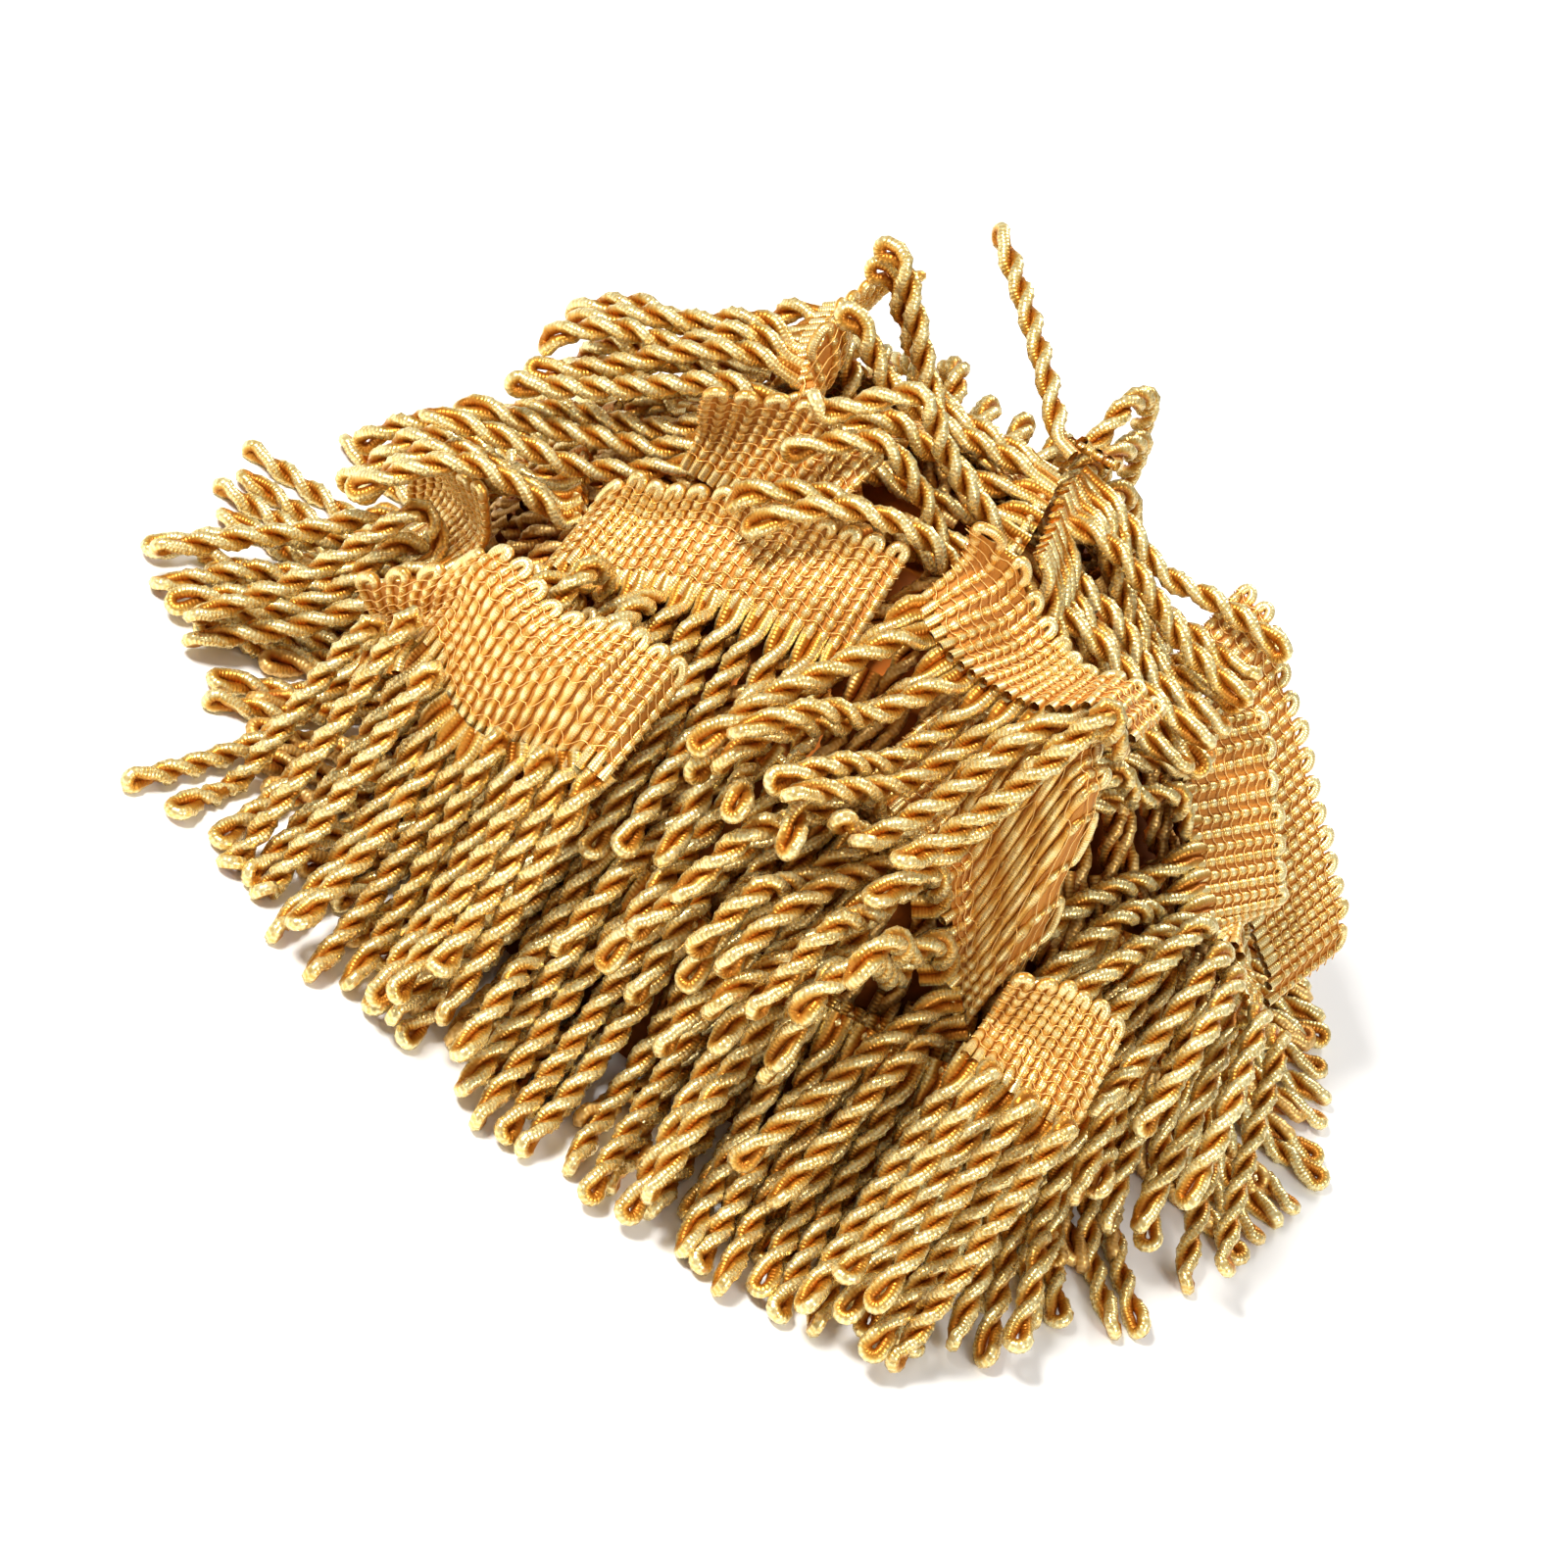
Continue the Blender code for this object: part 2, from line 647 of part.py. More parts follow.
def make_object(name, solid, colour):
    """A mesh object of a solid with its own satin material."""
    mesh = bpy.data.meshes.new(name)
    mesh.from_pydata([tuple(p) for p in solid.points], [], facing_out(solid))
    material = bpy.data.materials.new(name)
    material.use_nodes = True
    shader = material.node_tree.nodes["Principled BSDF"]
    shader.inputs["Base Color"].default_value = colour
    shader.inputs["Roughness"].default_value = SATIN
    shader.inputs["Metallic"].default_value = 0.0
    mesh.materials.append(material)
    made = bpy.data.objects.new(name, mesh)
    bpy.context.collection.objects.link(made)
    return made


def centre_heap(objects):
    """Moves every mesh so that the heap's box is centred over the origin."""
    points = np.array([v.co for obj in objects for v in obj.data.vertices])
    middle = (points.min(axis=0) + points.max(axis=0)) / 2
    for obj in objects:
        for vertex in obj.data.vertices:
            vertex.co.x -= middle[0]
            vertex.co.y -= middle[1]


def main():
    for old in list(bpy.data.objects):
        bpy.data.objects.remove(old, do_unlink=True)
    random_source = random.Random(SEED)
    pile = Pile()
    core = build_core()
    pile.stamp(pile.top, core.corners(core.faces))
    objects = [make_object("inner_turns", core, DEEP_GOLD)]
    for stretch in STRETCHES:
        line = stations(stretch)
        sides = hang_sides(line[:, :2], line[:, 3])
        field = widened(pile.top)
        own = pile.empty()
        levels, slopes = root_levels(line, sides, pile)
        if stretch.shows != HEADING:
            fringe, levels = build_fringe(
                stretch, line, sides, levels, slopes, pile, field, own, random_source)
            objects.append(make_object("fringe_" + stretch.name, fringe, GOLD))
        if stretch.shows != CORDS:
            heading = build_heading(line, sides, levels, slopes, pile, field, own)
            objects.append(make_object("heading_" + stretch.name, heading, GOLD))
            pile.stamp(own, heading.corners(heading.faces))
        pile.top = np.maximum(pile.top, own)
        print(stretch.name, len(line) - 1, "cords")
    centre_heap(objects)
    print("triangles", sum(len(obj.data.polygons) for obj in objects), "objects", len(objects))


main()
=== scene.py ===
"""Looks of a gold bullion fringe, a tassel trim lying in a heap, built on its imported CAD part.

Each CAD stretch gives the line of its cords and the lie of its woven heading. The cords are
twisted here from two plies that end in an eye, and the headings are woven from satin ribs, which
turn at the scalloped edge, with rows of fine warp thread across them. More cords fill the inside
of the heap.
"""

from __future__ import annotations

import logging
import math
from dataclasses import dataclass, field
from enum import Enum

import bmesh
import bpy
import numpy as np
from mathutils import Matrix, Vector
from mathutils.bvhtree import BVHTree

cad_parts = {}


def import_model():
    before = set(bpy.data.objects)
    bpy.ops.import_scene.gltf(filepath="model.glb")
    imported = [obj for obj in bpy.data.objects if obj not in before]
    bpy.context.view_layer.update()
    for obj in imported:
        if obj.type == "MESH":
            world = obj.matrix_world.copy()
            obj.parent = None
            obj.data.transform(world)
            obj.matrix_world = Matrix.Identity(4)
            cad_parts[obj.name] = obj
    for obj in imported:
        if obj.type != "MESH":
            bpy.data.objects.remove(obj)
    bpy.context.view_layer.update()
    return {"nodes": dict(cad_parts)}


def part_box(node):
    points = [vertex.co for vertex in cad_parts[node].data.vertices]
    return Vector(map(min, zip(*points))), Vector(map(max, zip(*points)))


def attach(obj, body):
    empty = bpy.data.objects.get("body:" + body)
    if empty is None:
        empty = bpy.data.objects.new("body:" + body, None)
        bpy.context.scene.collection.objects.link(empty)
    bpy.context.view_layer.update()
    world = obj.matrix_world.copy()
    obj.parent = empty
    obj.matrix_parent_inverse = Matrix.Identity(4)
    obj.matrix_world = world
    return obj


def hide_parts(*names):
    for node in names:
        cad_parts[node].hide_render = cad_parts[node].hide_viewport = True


log = logging.getLogger("fringe")

MM = 0.001
TAU = 2 * math.pi
WELD = 0.02 * MM
SHORTEST = 1e-12
THREAD_UV = "thread"
# The mesh attribute for how open each point is to the light, a mask of painted light and shade.
PAINTED_LIGHT = "open"
TINT = "tint"
BODY = "root"
STRETCH_SEED = 100
INSIDE_SEED = 7

Colour = tuple[float, float, float]


def unit(vectors: np.ndarray) -> np.ndarray:
    """The vectors along an array's last axis, at length one."""
    return vectors / np.maximum(np.linalg.norm(vectors, axis=-1, keepdims=True), SHORTEST)


def eased(values: np.ndarray | float) -> np.ndarray:
    """The values clipped to 0 and 1 and eased in and out."""
    held = np.clip(values, 0.0, 1.0)
    return held * held * (3 - 2 * held)


def through(controls: np.ndarray, places: np.ndarray) -> np.ndarray:
    """Catmull-Rom curves through rows of controls.

    Args:
        controls: Rows of points, with one extra point before the first and after the last.
        places: Where along each row, counted in controls from the first inner one.

    Returns:
        The points, one row for each row of controls.
    """
    last = controls.shape[1] - 4
    k = np.clip(np.floor(places).astype(int), 0, last)
    t = (places - k)[None, :, None]
    before, start, end, after = (controls[:, k + i] for i in range(4))
    return 0.5 * (
        2 * start
        + (end - before) * t
        + (2 * before - 5 * start + 4 * end - after) * t**2
        + (3 * start - before - 3 * end + after) * t**3
    )


def extended(lines: np.ndarray) -> np.ndarray:
    """Lines of points with one more point at each end, straight on."""
    return np.concatenate((
        2 * lines[:, :1] - lines[:, 1:2], lines, 2 * lines[:, -1:] - lines[:, -2:-1]), axis=1)


def run_along(lines: np.ndarray) -> np.ndarray:
    """How far each point of each line is from its line's first point, along the line."""
    steps = np.linalg.norm(np.diff(lines, axis=1), axis=2)
    return np.concatenate((np.zeros((len(lines), 1)), np.cumsum(steps, axis=1)), axis=1)


def evenly(lines: np.ndarray, count: int) -> np.ndarray:
    """Lines with their points spaced evenly.

    Args:
        lines: Lines of points.
        count: How many points each line gets.

    Returns:
        The same lines with that many points.
    """
    runs = run_along(lines)
    shares = np.linspace(0, 1, count)
    return np.array([
        np.stack([np.interp(shares * run[-1], run, line[:, axis]) for axis in range(3)], axis=1)
        for line, run in zip(lines, runs)
    ])


def linked(name: str, data: bpy.types.ID) -> bpy.types.Object:
    """A new object in the scene, with this mesh, camera or light."""
    made = bpy.data.objects.new(name, data)
    bpy.context.collection.objects.link(made)
    return made


class WeldedNode:
    """A CAD node's mesh, read with its doubled corners joined."""

    def __init__(self, node: bpy.types.Object) -> None:
        """Reads the mesh.

        Args:
            node: The node's object.
        """
        work = bmesh.new()
        work.from_mesh(node.data)
        bmesh.ops.remove_doubles(work, verts=work.verts, dist=WELD)
        work.verts.index_update()
        self.points = np.array([v.co for v in work.verts])
        self.beside = [{e.other_vert(v).index for e in v.link_edges} for v in work.verts]
        self.faces = [[v.index for v in face.verts] for face in work.faces]
        work.free()

    def layers(self, first: set[int], count: int) -> list[set[int]]:
        """The vertices one edge further away each time.

        Args:
            first: The vertices to start from.
            count: The most layers to take.

        Returns:
            The layers, without the first vertices.
        """
        seen = set(first)
        found: list[set[int]] = []
        edge = set(first)
        while edge and len(found) < count:
            edge = {n for v in edge for n in self.beside[v]} - seen
            seen |= edge
            if edge:
                found.append(edge)
        return found


@dataclass
class CordLines:
    """The centre lines of a stretch's cords.

    Args:
        joints: Root, ring and tip centres, one row a cord.
        across: The direction of the root line at each cord.
        away: The direction in which each cord leaves its root.
    """

    joints: np.ndarray
    across: np.ndarray
    away: np.ndarray

    RINGS = 4
    CORNERS = 4

    @classmethod
    def read(cls, node: WeldedNode) -> CordLines:
        """The cords of a fringe node.

        Args:
            node: The fringe.

        Returns:
            Its cords, in the order of their place on the root line.
        """
        joints, across, away = [], [], []
        for tip, near in enumerate(node.beside):
            if len(near) != cls.CORNERS:
                continue
            layers = node.layers({tip}, cls.RINGS + 1)
            if [len(layer) for layer in layers] != [cls.CORNERS] * (cls.RINGS + 1):
                continue
            rings = [node.points[sorted(layer)] for layer in layers[::-1]]
            root = rings[0]
            middle = root.mean(axis=0)
            spans = np.linalg.svd(root - middle)[2]
            out = spans[2] * np.sign(spans[2] @ (rings[1].mean(axis=0) - middle))
            joints.append([ring.mean(axis=0) for ring in rings] + [node.points[tip]])
            across.append(spans[0])
            away.append(out)
        return cls(np.array(joints), np.array(across), np.array(away)).in_line()

    def in_line(self) -> CordLines:
        """The cords put in the order in which their roots follow one another.

        Returns:
            The ordered cords.
        """
        roots = self.joints[:, 0]
        spread = np.linalg.norm(roots[:, None] - roots[None], axis=2)
        order = [int(np.unravel_index(spread.argmax(), spread.shape)[0])]
        left = set(range(len(roots))) - set(order)
        while left:
            nearest = min(left, key=lambda k: spread[order[-1], k])
            order.append(nearest)
            left.remove(nearest)
        across = self.across[order]
        for k in range(1, len(order)):
            across[k] *= 1.0 if across[k] @ across[k - 1] >= 0 else -1.0
        return CordLines(self.joints[order], across, self.away[order])


class HeadingLie:
    """The surface on which a stretch's woven heading lies, read from its CAD band."""

    COLUMNS = 4
    WIDTH = 24 * MM
    PER_STATION = 8
    BELOW = 3 * MM
    ABOVE = 3 * MM
    STEP = 1 * MM
    FLAT = 1e-9
    SHORT_OF_END = 1.001

    def __init__(self, node: WeldedNode, roots: np.ndarray | None) -> None:
        """Reads the sections and lays the surface through them.

        Args:
            node: The heading.
            roots: The roots of the stretch's cords, if it has any.
        """
        sections = self.sections(node)
        first, last = sections[:, 0], sections[:, -1]
        if roots is None:
            turned = first[:, 2].mean() > last[:, 2].mean()
        else:
            turned = self.nearness(first, roots) > self.nearness(last, roots)
        self.centres = sections[:, ::-1] if turned else sections
        self.stations = len(self.centres) - 1
        self.points = self.surface()
        along = np.gradient(self.points, axis=0)
        up = np.gradient(self.points, axis=1)
        self.normals = unit(np.cross(along, up))
        middle = self.centres.mean(axis=1)
        self.length = float(np.linalg.norm(np.diff(middle, axis=0), axis=1).sum())
        cells = np.linalg.norm(np.cross(along, up), axis=2)
        past = round(self.BELOW / self.STEP)
        self.area = float(cells[:, past:-past].sum())

    @staticmethod
    def nearness(line: np.ndarray, roots: np.ndarray) -> float:
        """The mean distance from a cord's root to an edge's nearest point."""
        return float(np.linalg.norm(line[:, None] - roots[None], axis=2).min(axis=0).mean())

    def sections(self, node: WeldedNode) -> np.ndarray:
        """The centre points of the band's cross-sections.

        Args:
            node: The heading.

        Returns:
            One row of centres a station, each row in order across the band.
        """
        upright = []
        for face in node.faces:
            a, b, c = (node.points[v] for v in face)
            area = abs((b[0] - a[0]) * (c[1] - a[1]) - (c[0] - a[0]) * (b[1] - a[1])) / 2
            if area < self.FLAT:
                upright.append(set(face))
        caps: list[set[int]] = []
        for face in upright:
            joined = [cap for cap in caps if len(cap & face) >= 2]
            caps = [cap for cap in caps if cap not in joined] + [face.union(*joined)]
        cap = next(cap for cap in caps if len(cap) == 2 * self.COLUMNS)
        layers = [cap, *node.layers(cap, len(node.points))]
        rows = [self.paired(node, layer) for layer in layers]
        for k in range(1, len(rows)):
            straight = np.linalg.norm(rows[k] - rows[k - 1], axis=1).sum()
            crossed = np.linalg.norm(rows[k][::-1] - rows[k - 1], axis=1).sum()
            if crossed < straight:
                rows[k] = rows[k][::-1]
        return np.array(rows)

    def paired(self, node: WeldedNode, layer: set[int]) -> np.ndarray:
        """The centres of a section, between its upper and lower corners.

        Args:
            node: The heading.
            layer: The section's corners.

        Returns:
            The centres in order across the band.
        """
        loop = self.loop(node, layer)
        size = len(loop)
        found = []
        for start in range(self.COLUMNS):
            one = loop[[(start + k) % size for k in range(self.COLUMNS)]]
            other = loop[[(start - 1 - k) % size for k in range(self.COLUMNS)]]
            found.append((float(np.linalg.norm(one - other, axis=1).sum()), start, one, other))
        _, _, one, other = min(found, key=lambda pair: pair[0])
        return (one + other) / 2

    @staticmethod
    def loop(node: WeldedNode, layer: set[int]) -> np.ndarray:
        """A section's corners in order round it.

        Args:
            node: The heading.
            layer: The section's corners.

        Returns:
            The corners' points.
        """
        links: dict[int, set[int]] = {v: set() for v in layer}
        for face in node.faces:
            inside = [v for v in face if v in layer]
            if len(inside) == 2 and len(face) > 2:
                links[inside[0]].add(inside[1])
                links[inside[1]].add(inside[0])
        order = [min(layer)]
        while len(order) < len(layer):
            order.append(min(links[order[-1]] - set(order)))
        return node.points[order]

    def surface(self) -> np.ndarray:
        """A fine grid of points over the heading, a little past both its edges.

        Returns:
            Points, along the heading and then across it.
        """
        ends = extended(self.centres.transpose(1, 0, 2))
        count = self.PER_STATION * self.stations + 1
        along = through(ends, np.linspace(0, self.stations, count))
        sides = extended(along.transpose(1, 0, 2))
        inner = round(self.WIDTH / self.STEP) + 1
        across = through(sides, np.linspace(0, self.COLUMNS - 1, inner))
        below = np.arange(round(self.BELOW / self.STEP), 0, -1)[None, :, None]
        above = np.arange(1, round(self.ABOVE / self.STEP) + 1)[None, :, None]
        start = across[:, :1] + below * (across[:, :1] - across[:, 1:2])
        end = across[:, -1:] + above * (across[:, -1:] - across[:, -2:-1])
        return np.concatenate((start, across, end), axis=1)

    def at(self, along: np.ndarray, across: np.ndarray) -> tuple[np.ndarray, np.ndarray]:
        """Points and normals on the heading.

        Args:
            along: Places along it, counted in stations.
            across: Places across it, in metres from the root.

        Returns:
            The points and the normals.
        """
        a = np.clip(along * self.PER_STATION, 0, self.points.shape[0] - self.SHORT_OF_END)
        b = np.clip(
            (across + self.BELOW) / self.STEP, 0, self.points.shape[1] - self.SHORT_OF_END)
        i, j = a.astype(int), b.astype(int)
        s, t = (a - i)[..., None], (b - j)[..., None]
        found = []
        for grid in (self.points, self.normals):
            low = grid[i, j] * (1 - s) + grid[i + 1, j] * s
            high = grid[i, j + 1] * (1 - s) + grid[i + 1, j + 1] * s
            found.append(low * (1 - t) + high * t)
        return found[0], unit(found[1])


class Shown(Enum):
    """Which sides of a yarn the light reaches."""

    OUTER = "outer"
    BOTH = "both"


class Basket:
    """Yarn and cloth surfaces that are gathered into one mesh."""

    OUTER_FROM = 0.35
    OUTER_OVER = 0.95
    BOTH_GAIN = 1.35

    def __init__(self) -> None:
        """Starts empty."""
        self.points: list[np.ndarray] = []
        self.corners: list[np.ndarray] = []
        self.uvs: list[np.ndarray] = []
        self.values: dict[str, list[np.ndarray]] = {PAINTED_LIGHT: [], TINT: []}
        self.count = 0

    def grids(
        self,
        points: np.ndarray,
        along: np.ndarray,
        around: np.ndarray,
        open_to: np.ndarray,
        tints: np.ndarray,
        closed: bool,
    ) -> None:
        """Adds grids of points as surfaces.

        Args:
            points: The grids, each with rows of points.
            along: The first thread coordinate of each row.
            around: The second thread coordinate of each column, with one more if closed.
            open_to: How open each point is to the light, a mask of painted light and shade.
            tints: One tint a grid.
            closed: Whether the last column joins the first.
        """
        number, rows, columns = points.shape[:3]
        ids = self.count + np.arange(number * rows * columns).reshape(number, rows, columns)
        if closed:
            ids = np.concatenate((ids, ids[:, :, :1]), axis=2)
        a, b = ids[:, :-1, :-1], ids[:, :-1, 1:]
        c, d = ids[:, 1:, 1:], ids[:, 1:, :-1]
        self.corners.append(np.stack((a, b, c, d), axis=-1).reshape(-1, 4))
        u = np.broadcast_to(along[:, :, None], ids.shape)
        v = np.broadcast_to(around[None, None, :], ids.shape)
        uv = np.stack((u, v), axis=-1)
        quads = (uv[:, :-1, :-1], uv[:, :-1, 1:], uv[:, 1:, 1:], uv[:, 1:, :-1])
        self.uvs.append(np.stack(quads, axis=3).reshape(-1, 2))
        self.points.append(points.reshape(-1, 3))
        shape = points.shape[:3]
        self.values[PAINTED_LIGHT].append(np.broadcast_to(open_to, shape).reshape(-1))
        self.values[TINT].append(np.broadcast_to(tints[:, None, None], shape).reshape(-1))
        self.count += number * rows * columns

    def tubes(
        self,
        paths: np.ndarray,
        normals: np.ndarray,
        radii: np.ndarray,
        sides: int,
        tints: np.ndarray,
        shown: Shown,
        openness: np.ndarray | float = 1.0,
    ) -> None:
        """Adds yarns of round section.

        Args:
            paths: The yarns' centre lines.
            normals: At each point of a line, the side that is open to the light.
            radii: The radius at each point.
            sides: How many sides a yarn has.
            tints: One tint a yarn.
            shown: Which of its sides the light reaches.
            openness: How open each point of a line is; lower values paint shade there.
        """
        tangents = unit(np.gradient(paths, axis=1))
        ups = unit(normals - (normals * tangents).sum(axis=-1, keepdims=True) * tangents)
        sideways = np.cross(tangents, ups)
        angles = TAU * np.arange(sides) / sides
        cos, sin = np.cos(angles)[:, None], np.sin(angles)[:, None]
        rings = paths[:, :, None] + radii[:, :, None, None] * (
            ups[:, :, None] * cos + sideways[:, :, None] * sin)
        # Painted light and shade: each side's openness follows the way it faces, so outer sides
        # are drawn lit and inner sides and edges shaded.
        facing = np.cos(angles)
        if shown is Shown.OUTER:
            level = np.clip((facing + self.OUTER_FROM) / self.OUTER_OVER, 0, 1)
        else:
            level = np.clip(self.BOTH_GAIN * np.abs(facing), 0, 1)
        along = np.broadcast_to(openness, radii.shape)
        level = level[None, None] * along[:, :, None]
        self.grids(
            rings, run_along(paths) / MM, np.arange(sides + 1) / sides, level, tints, True)

    def build(self, name: str, material: bpy.types.Material) -> bpy.types.Object:
        """Makes the object.

        Args:
            name: The object's name.
            material: Its finish.

        Returns:
            The object, linked to the scene.
        """
        points = np.concatenate(self.points)
        corners = np.concatenate(self.corners)
        mesh = bpy.data.meshes.new(name)
        mesh.vertices.add(len(points))
        mesh.vertices.foreach_set("co", points.astype(np.float32).ravel())
        mesh.loops.add(corners.size)
        mesh.loops.foreach_set("vertex_index", corners.astype(np.int32).ravel())
        mesh.polygons.add(len(corners))
        mesh.polygons.foreach_set("loop_start", np.arange(0, corners.size, 4, dtype=np.int32))
        mesh.update(calc_edges=True)
        layer = mesh.uv_layers.new(name=THREAD_UV)
        layer.uv.foreach_set("vector", np.concatenate(self.uvs).astype(np.float32).ravel())
        for key, values in self.values.items():
            attribute = mesh.attributes.new(key, "FLOAT", "POINT")
            attribute.data.foreach_set("value", np.concatenate(values).astype(np.float32))
        mesh.shade_smooth()
        mesh.materials.append(material)
        return linked(name, mesh)


class Signal:
    """A shader value that can be reckoned with in plain expressions."""

    def __init__(self, graph: Graph, socket: bpy.types.NodeSocket) -> None:
        """Wraps an output.

        Args:
            graph: The graph that the value belongs to.
            socket: The output that gives it.
        """
        self.graph = graph
        self.socket = socket

    def reckon(self, operation: str, *others: Signal | float) -> Signal:
        """The result of a Math node on this value and the ones that follow it."""
        return self.graph.maths(operation, self, *others)

    def __add__(self, other: Signal | float) -> Signal:
        """This value plus another."""
        return self.reckon("ADD", other)

    __radd__ = __add__

    def __mul__(self, other: Signal | float) -> Signal:
        """This value times another."""
        return self.reckon("MULTIPLY", other)

    __rmul__ = __mul__

    def __sub__(self, other: Signal | float) -> Signal:
        """This value less another."""
        return self.reckon("SUBTRACT", other)

    def __rsub__(self, other: float) -> Signal:
        """A number less this value."""
        return self.graph.maths("SUBTRACT", other, self)

    def __pow__(self, other: float) -> Signal:
        """This value to a power."""
        return self.reckon("POWER", other)

    def sine(self) -> Signal:
        """The sine of this value."""
        return self.reckon("SINE")

    def clipped(self) -> Signal:
        """This value held between 0 and 1."""
        return self.reckon("MAXIMUM", 0.0).reckon("MINIMUM", 1.0)


class Graph:
    """The nodes of one material."""

    FIRST_COLOUR = 6
    SECOND_COLOUR = 7
    MIXED_COLOUR = 2

    def __init__(self, name: str) -> None:
        """Starts a material.

        Args:
            name: The material's name.
        """
        self.material = bpy.data.materials.new(name)
        self.material.use_nodes = True
        self.tree = self.material.node_tree
        self.shader = self.tree.nodes["Principled BSDF"]

    def node(self, kind: str, settings: dict[str, object], inputs: dict[str | int, object]
             ) -> bpy.types.Node:
        """Adds a node.

        Args:
            kind: The node's type.
            settings: Its settings, which are set first.
            inputs: The values of its sockets, or what they are linked to.

        Returns:
            The node.
        """
        made = self.tree.nodes.new(kind)
        for key, value in settings.items():
            setattr(made, key, value)
        for key, value in inputs.items():
            self.feed(made.inputs[key], value)
        return made

    def feed(self, socket: bpy.types.NodeSocket, value: object) -> None:
        """Sets or links a socket.

        Args:
            socket: The input.
            value: A signal, an output socket or a plain value.
        """
        if isinstance(value, Signal):
            value = value.socket
        if isinstance(value, bpy.types.NodeSocket):
            self.tree.links.new(value, socket)
        else:
            socket.default_value = value

    def maths(self, operation: str, *values: Signal | float) -> Signal:
        """The output of a Math node with these inputs in order."""
        made = self.node("ShaderNodeMath", {"operation": operation}, dict(enumerate(values)))
        return Signal(self, made.outputs[0])

    def value(self, name: str) -> Signal:
        """The value of an attribute that is stored on the mesh."""
        made = self.node("ShaderNodeAttribute", {"attribute_name": name}, {})
        return Signal(self, made.outputs["Fac"])

    def thread(self) -> tuple[Signal, Signal]:
        """The place along the yarn in millimetres, and round it from 0 to 1."""
        uv = self.node("ShaderNodeUVMap", {"uv_map": THREAD_UV}, {})
        parts = self.node("ShaderNodeSeparateXYZ", {}, {0: uv.outputs["UV"]})
        return Signal(self, parts.outputs[0]), Signal(self, parts.outputs[1])

    def noise(self, x: Signal, y: Signal | float, z: Signal, detail: float) -> Signal:
        """Noise at a place.

        Args:
            x: The place's first coordinate.
            y: Its second.
            z: Its third.
            detail: How fine the noise gets.

        Returns:
            Noise from 0 to 1.
        """
        place = self.node("ShaderNodeCombineXYZ", {}, {0: x, 1: y, 2: z})
        made = self.node(
            "ShaderNodeTexNoise", {}, {"Vector": place.outputs[0], "Scale": 1.0, "Detail": detail})
        return Signal(self, made.outputs["Fac"])

    def blend(self, share: Signal, first: object, second: object) -> bpy.types.NodeSocket:
        """A mix of two colours.

        Args:
            share: How much of the second one.
            first: The first colour.
            second: The second colour.

        Returns:
            The mixed colour.
        """
        made = self.node(
            "ShaderNodeMix", {"data_type": "RGBA"},
            {0: share, self.FIRST_COLOUR: first, self.SECOND_COLOUR: second})
        return made.outputs[self.MIXED_COLOUR]


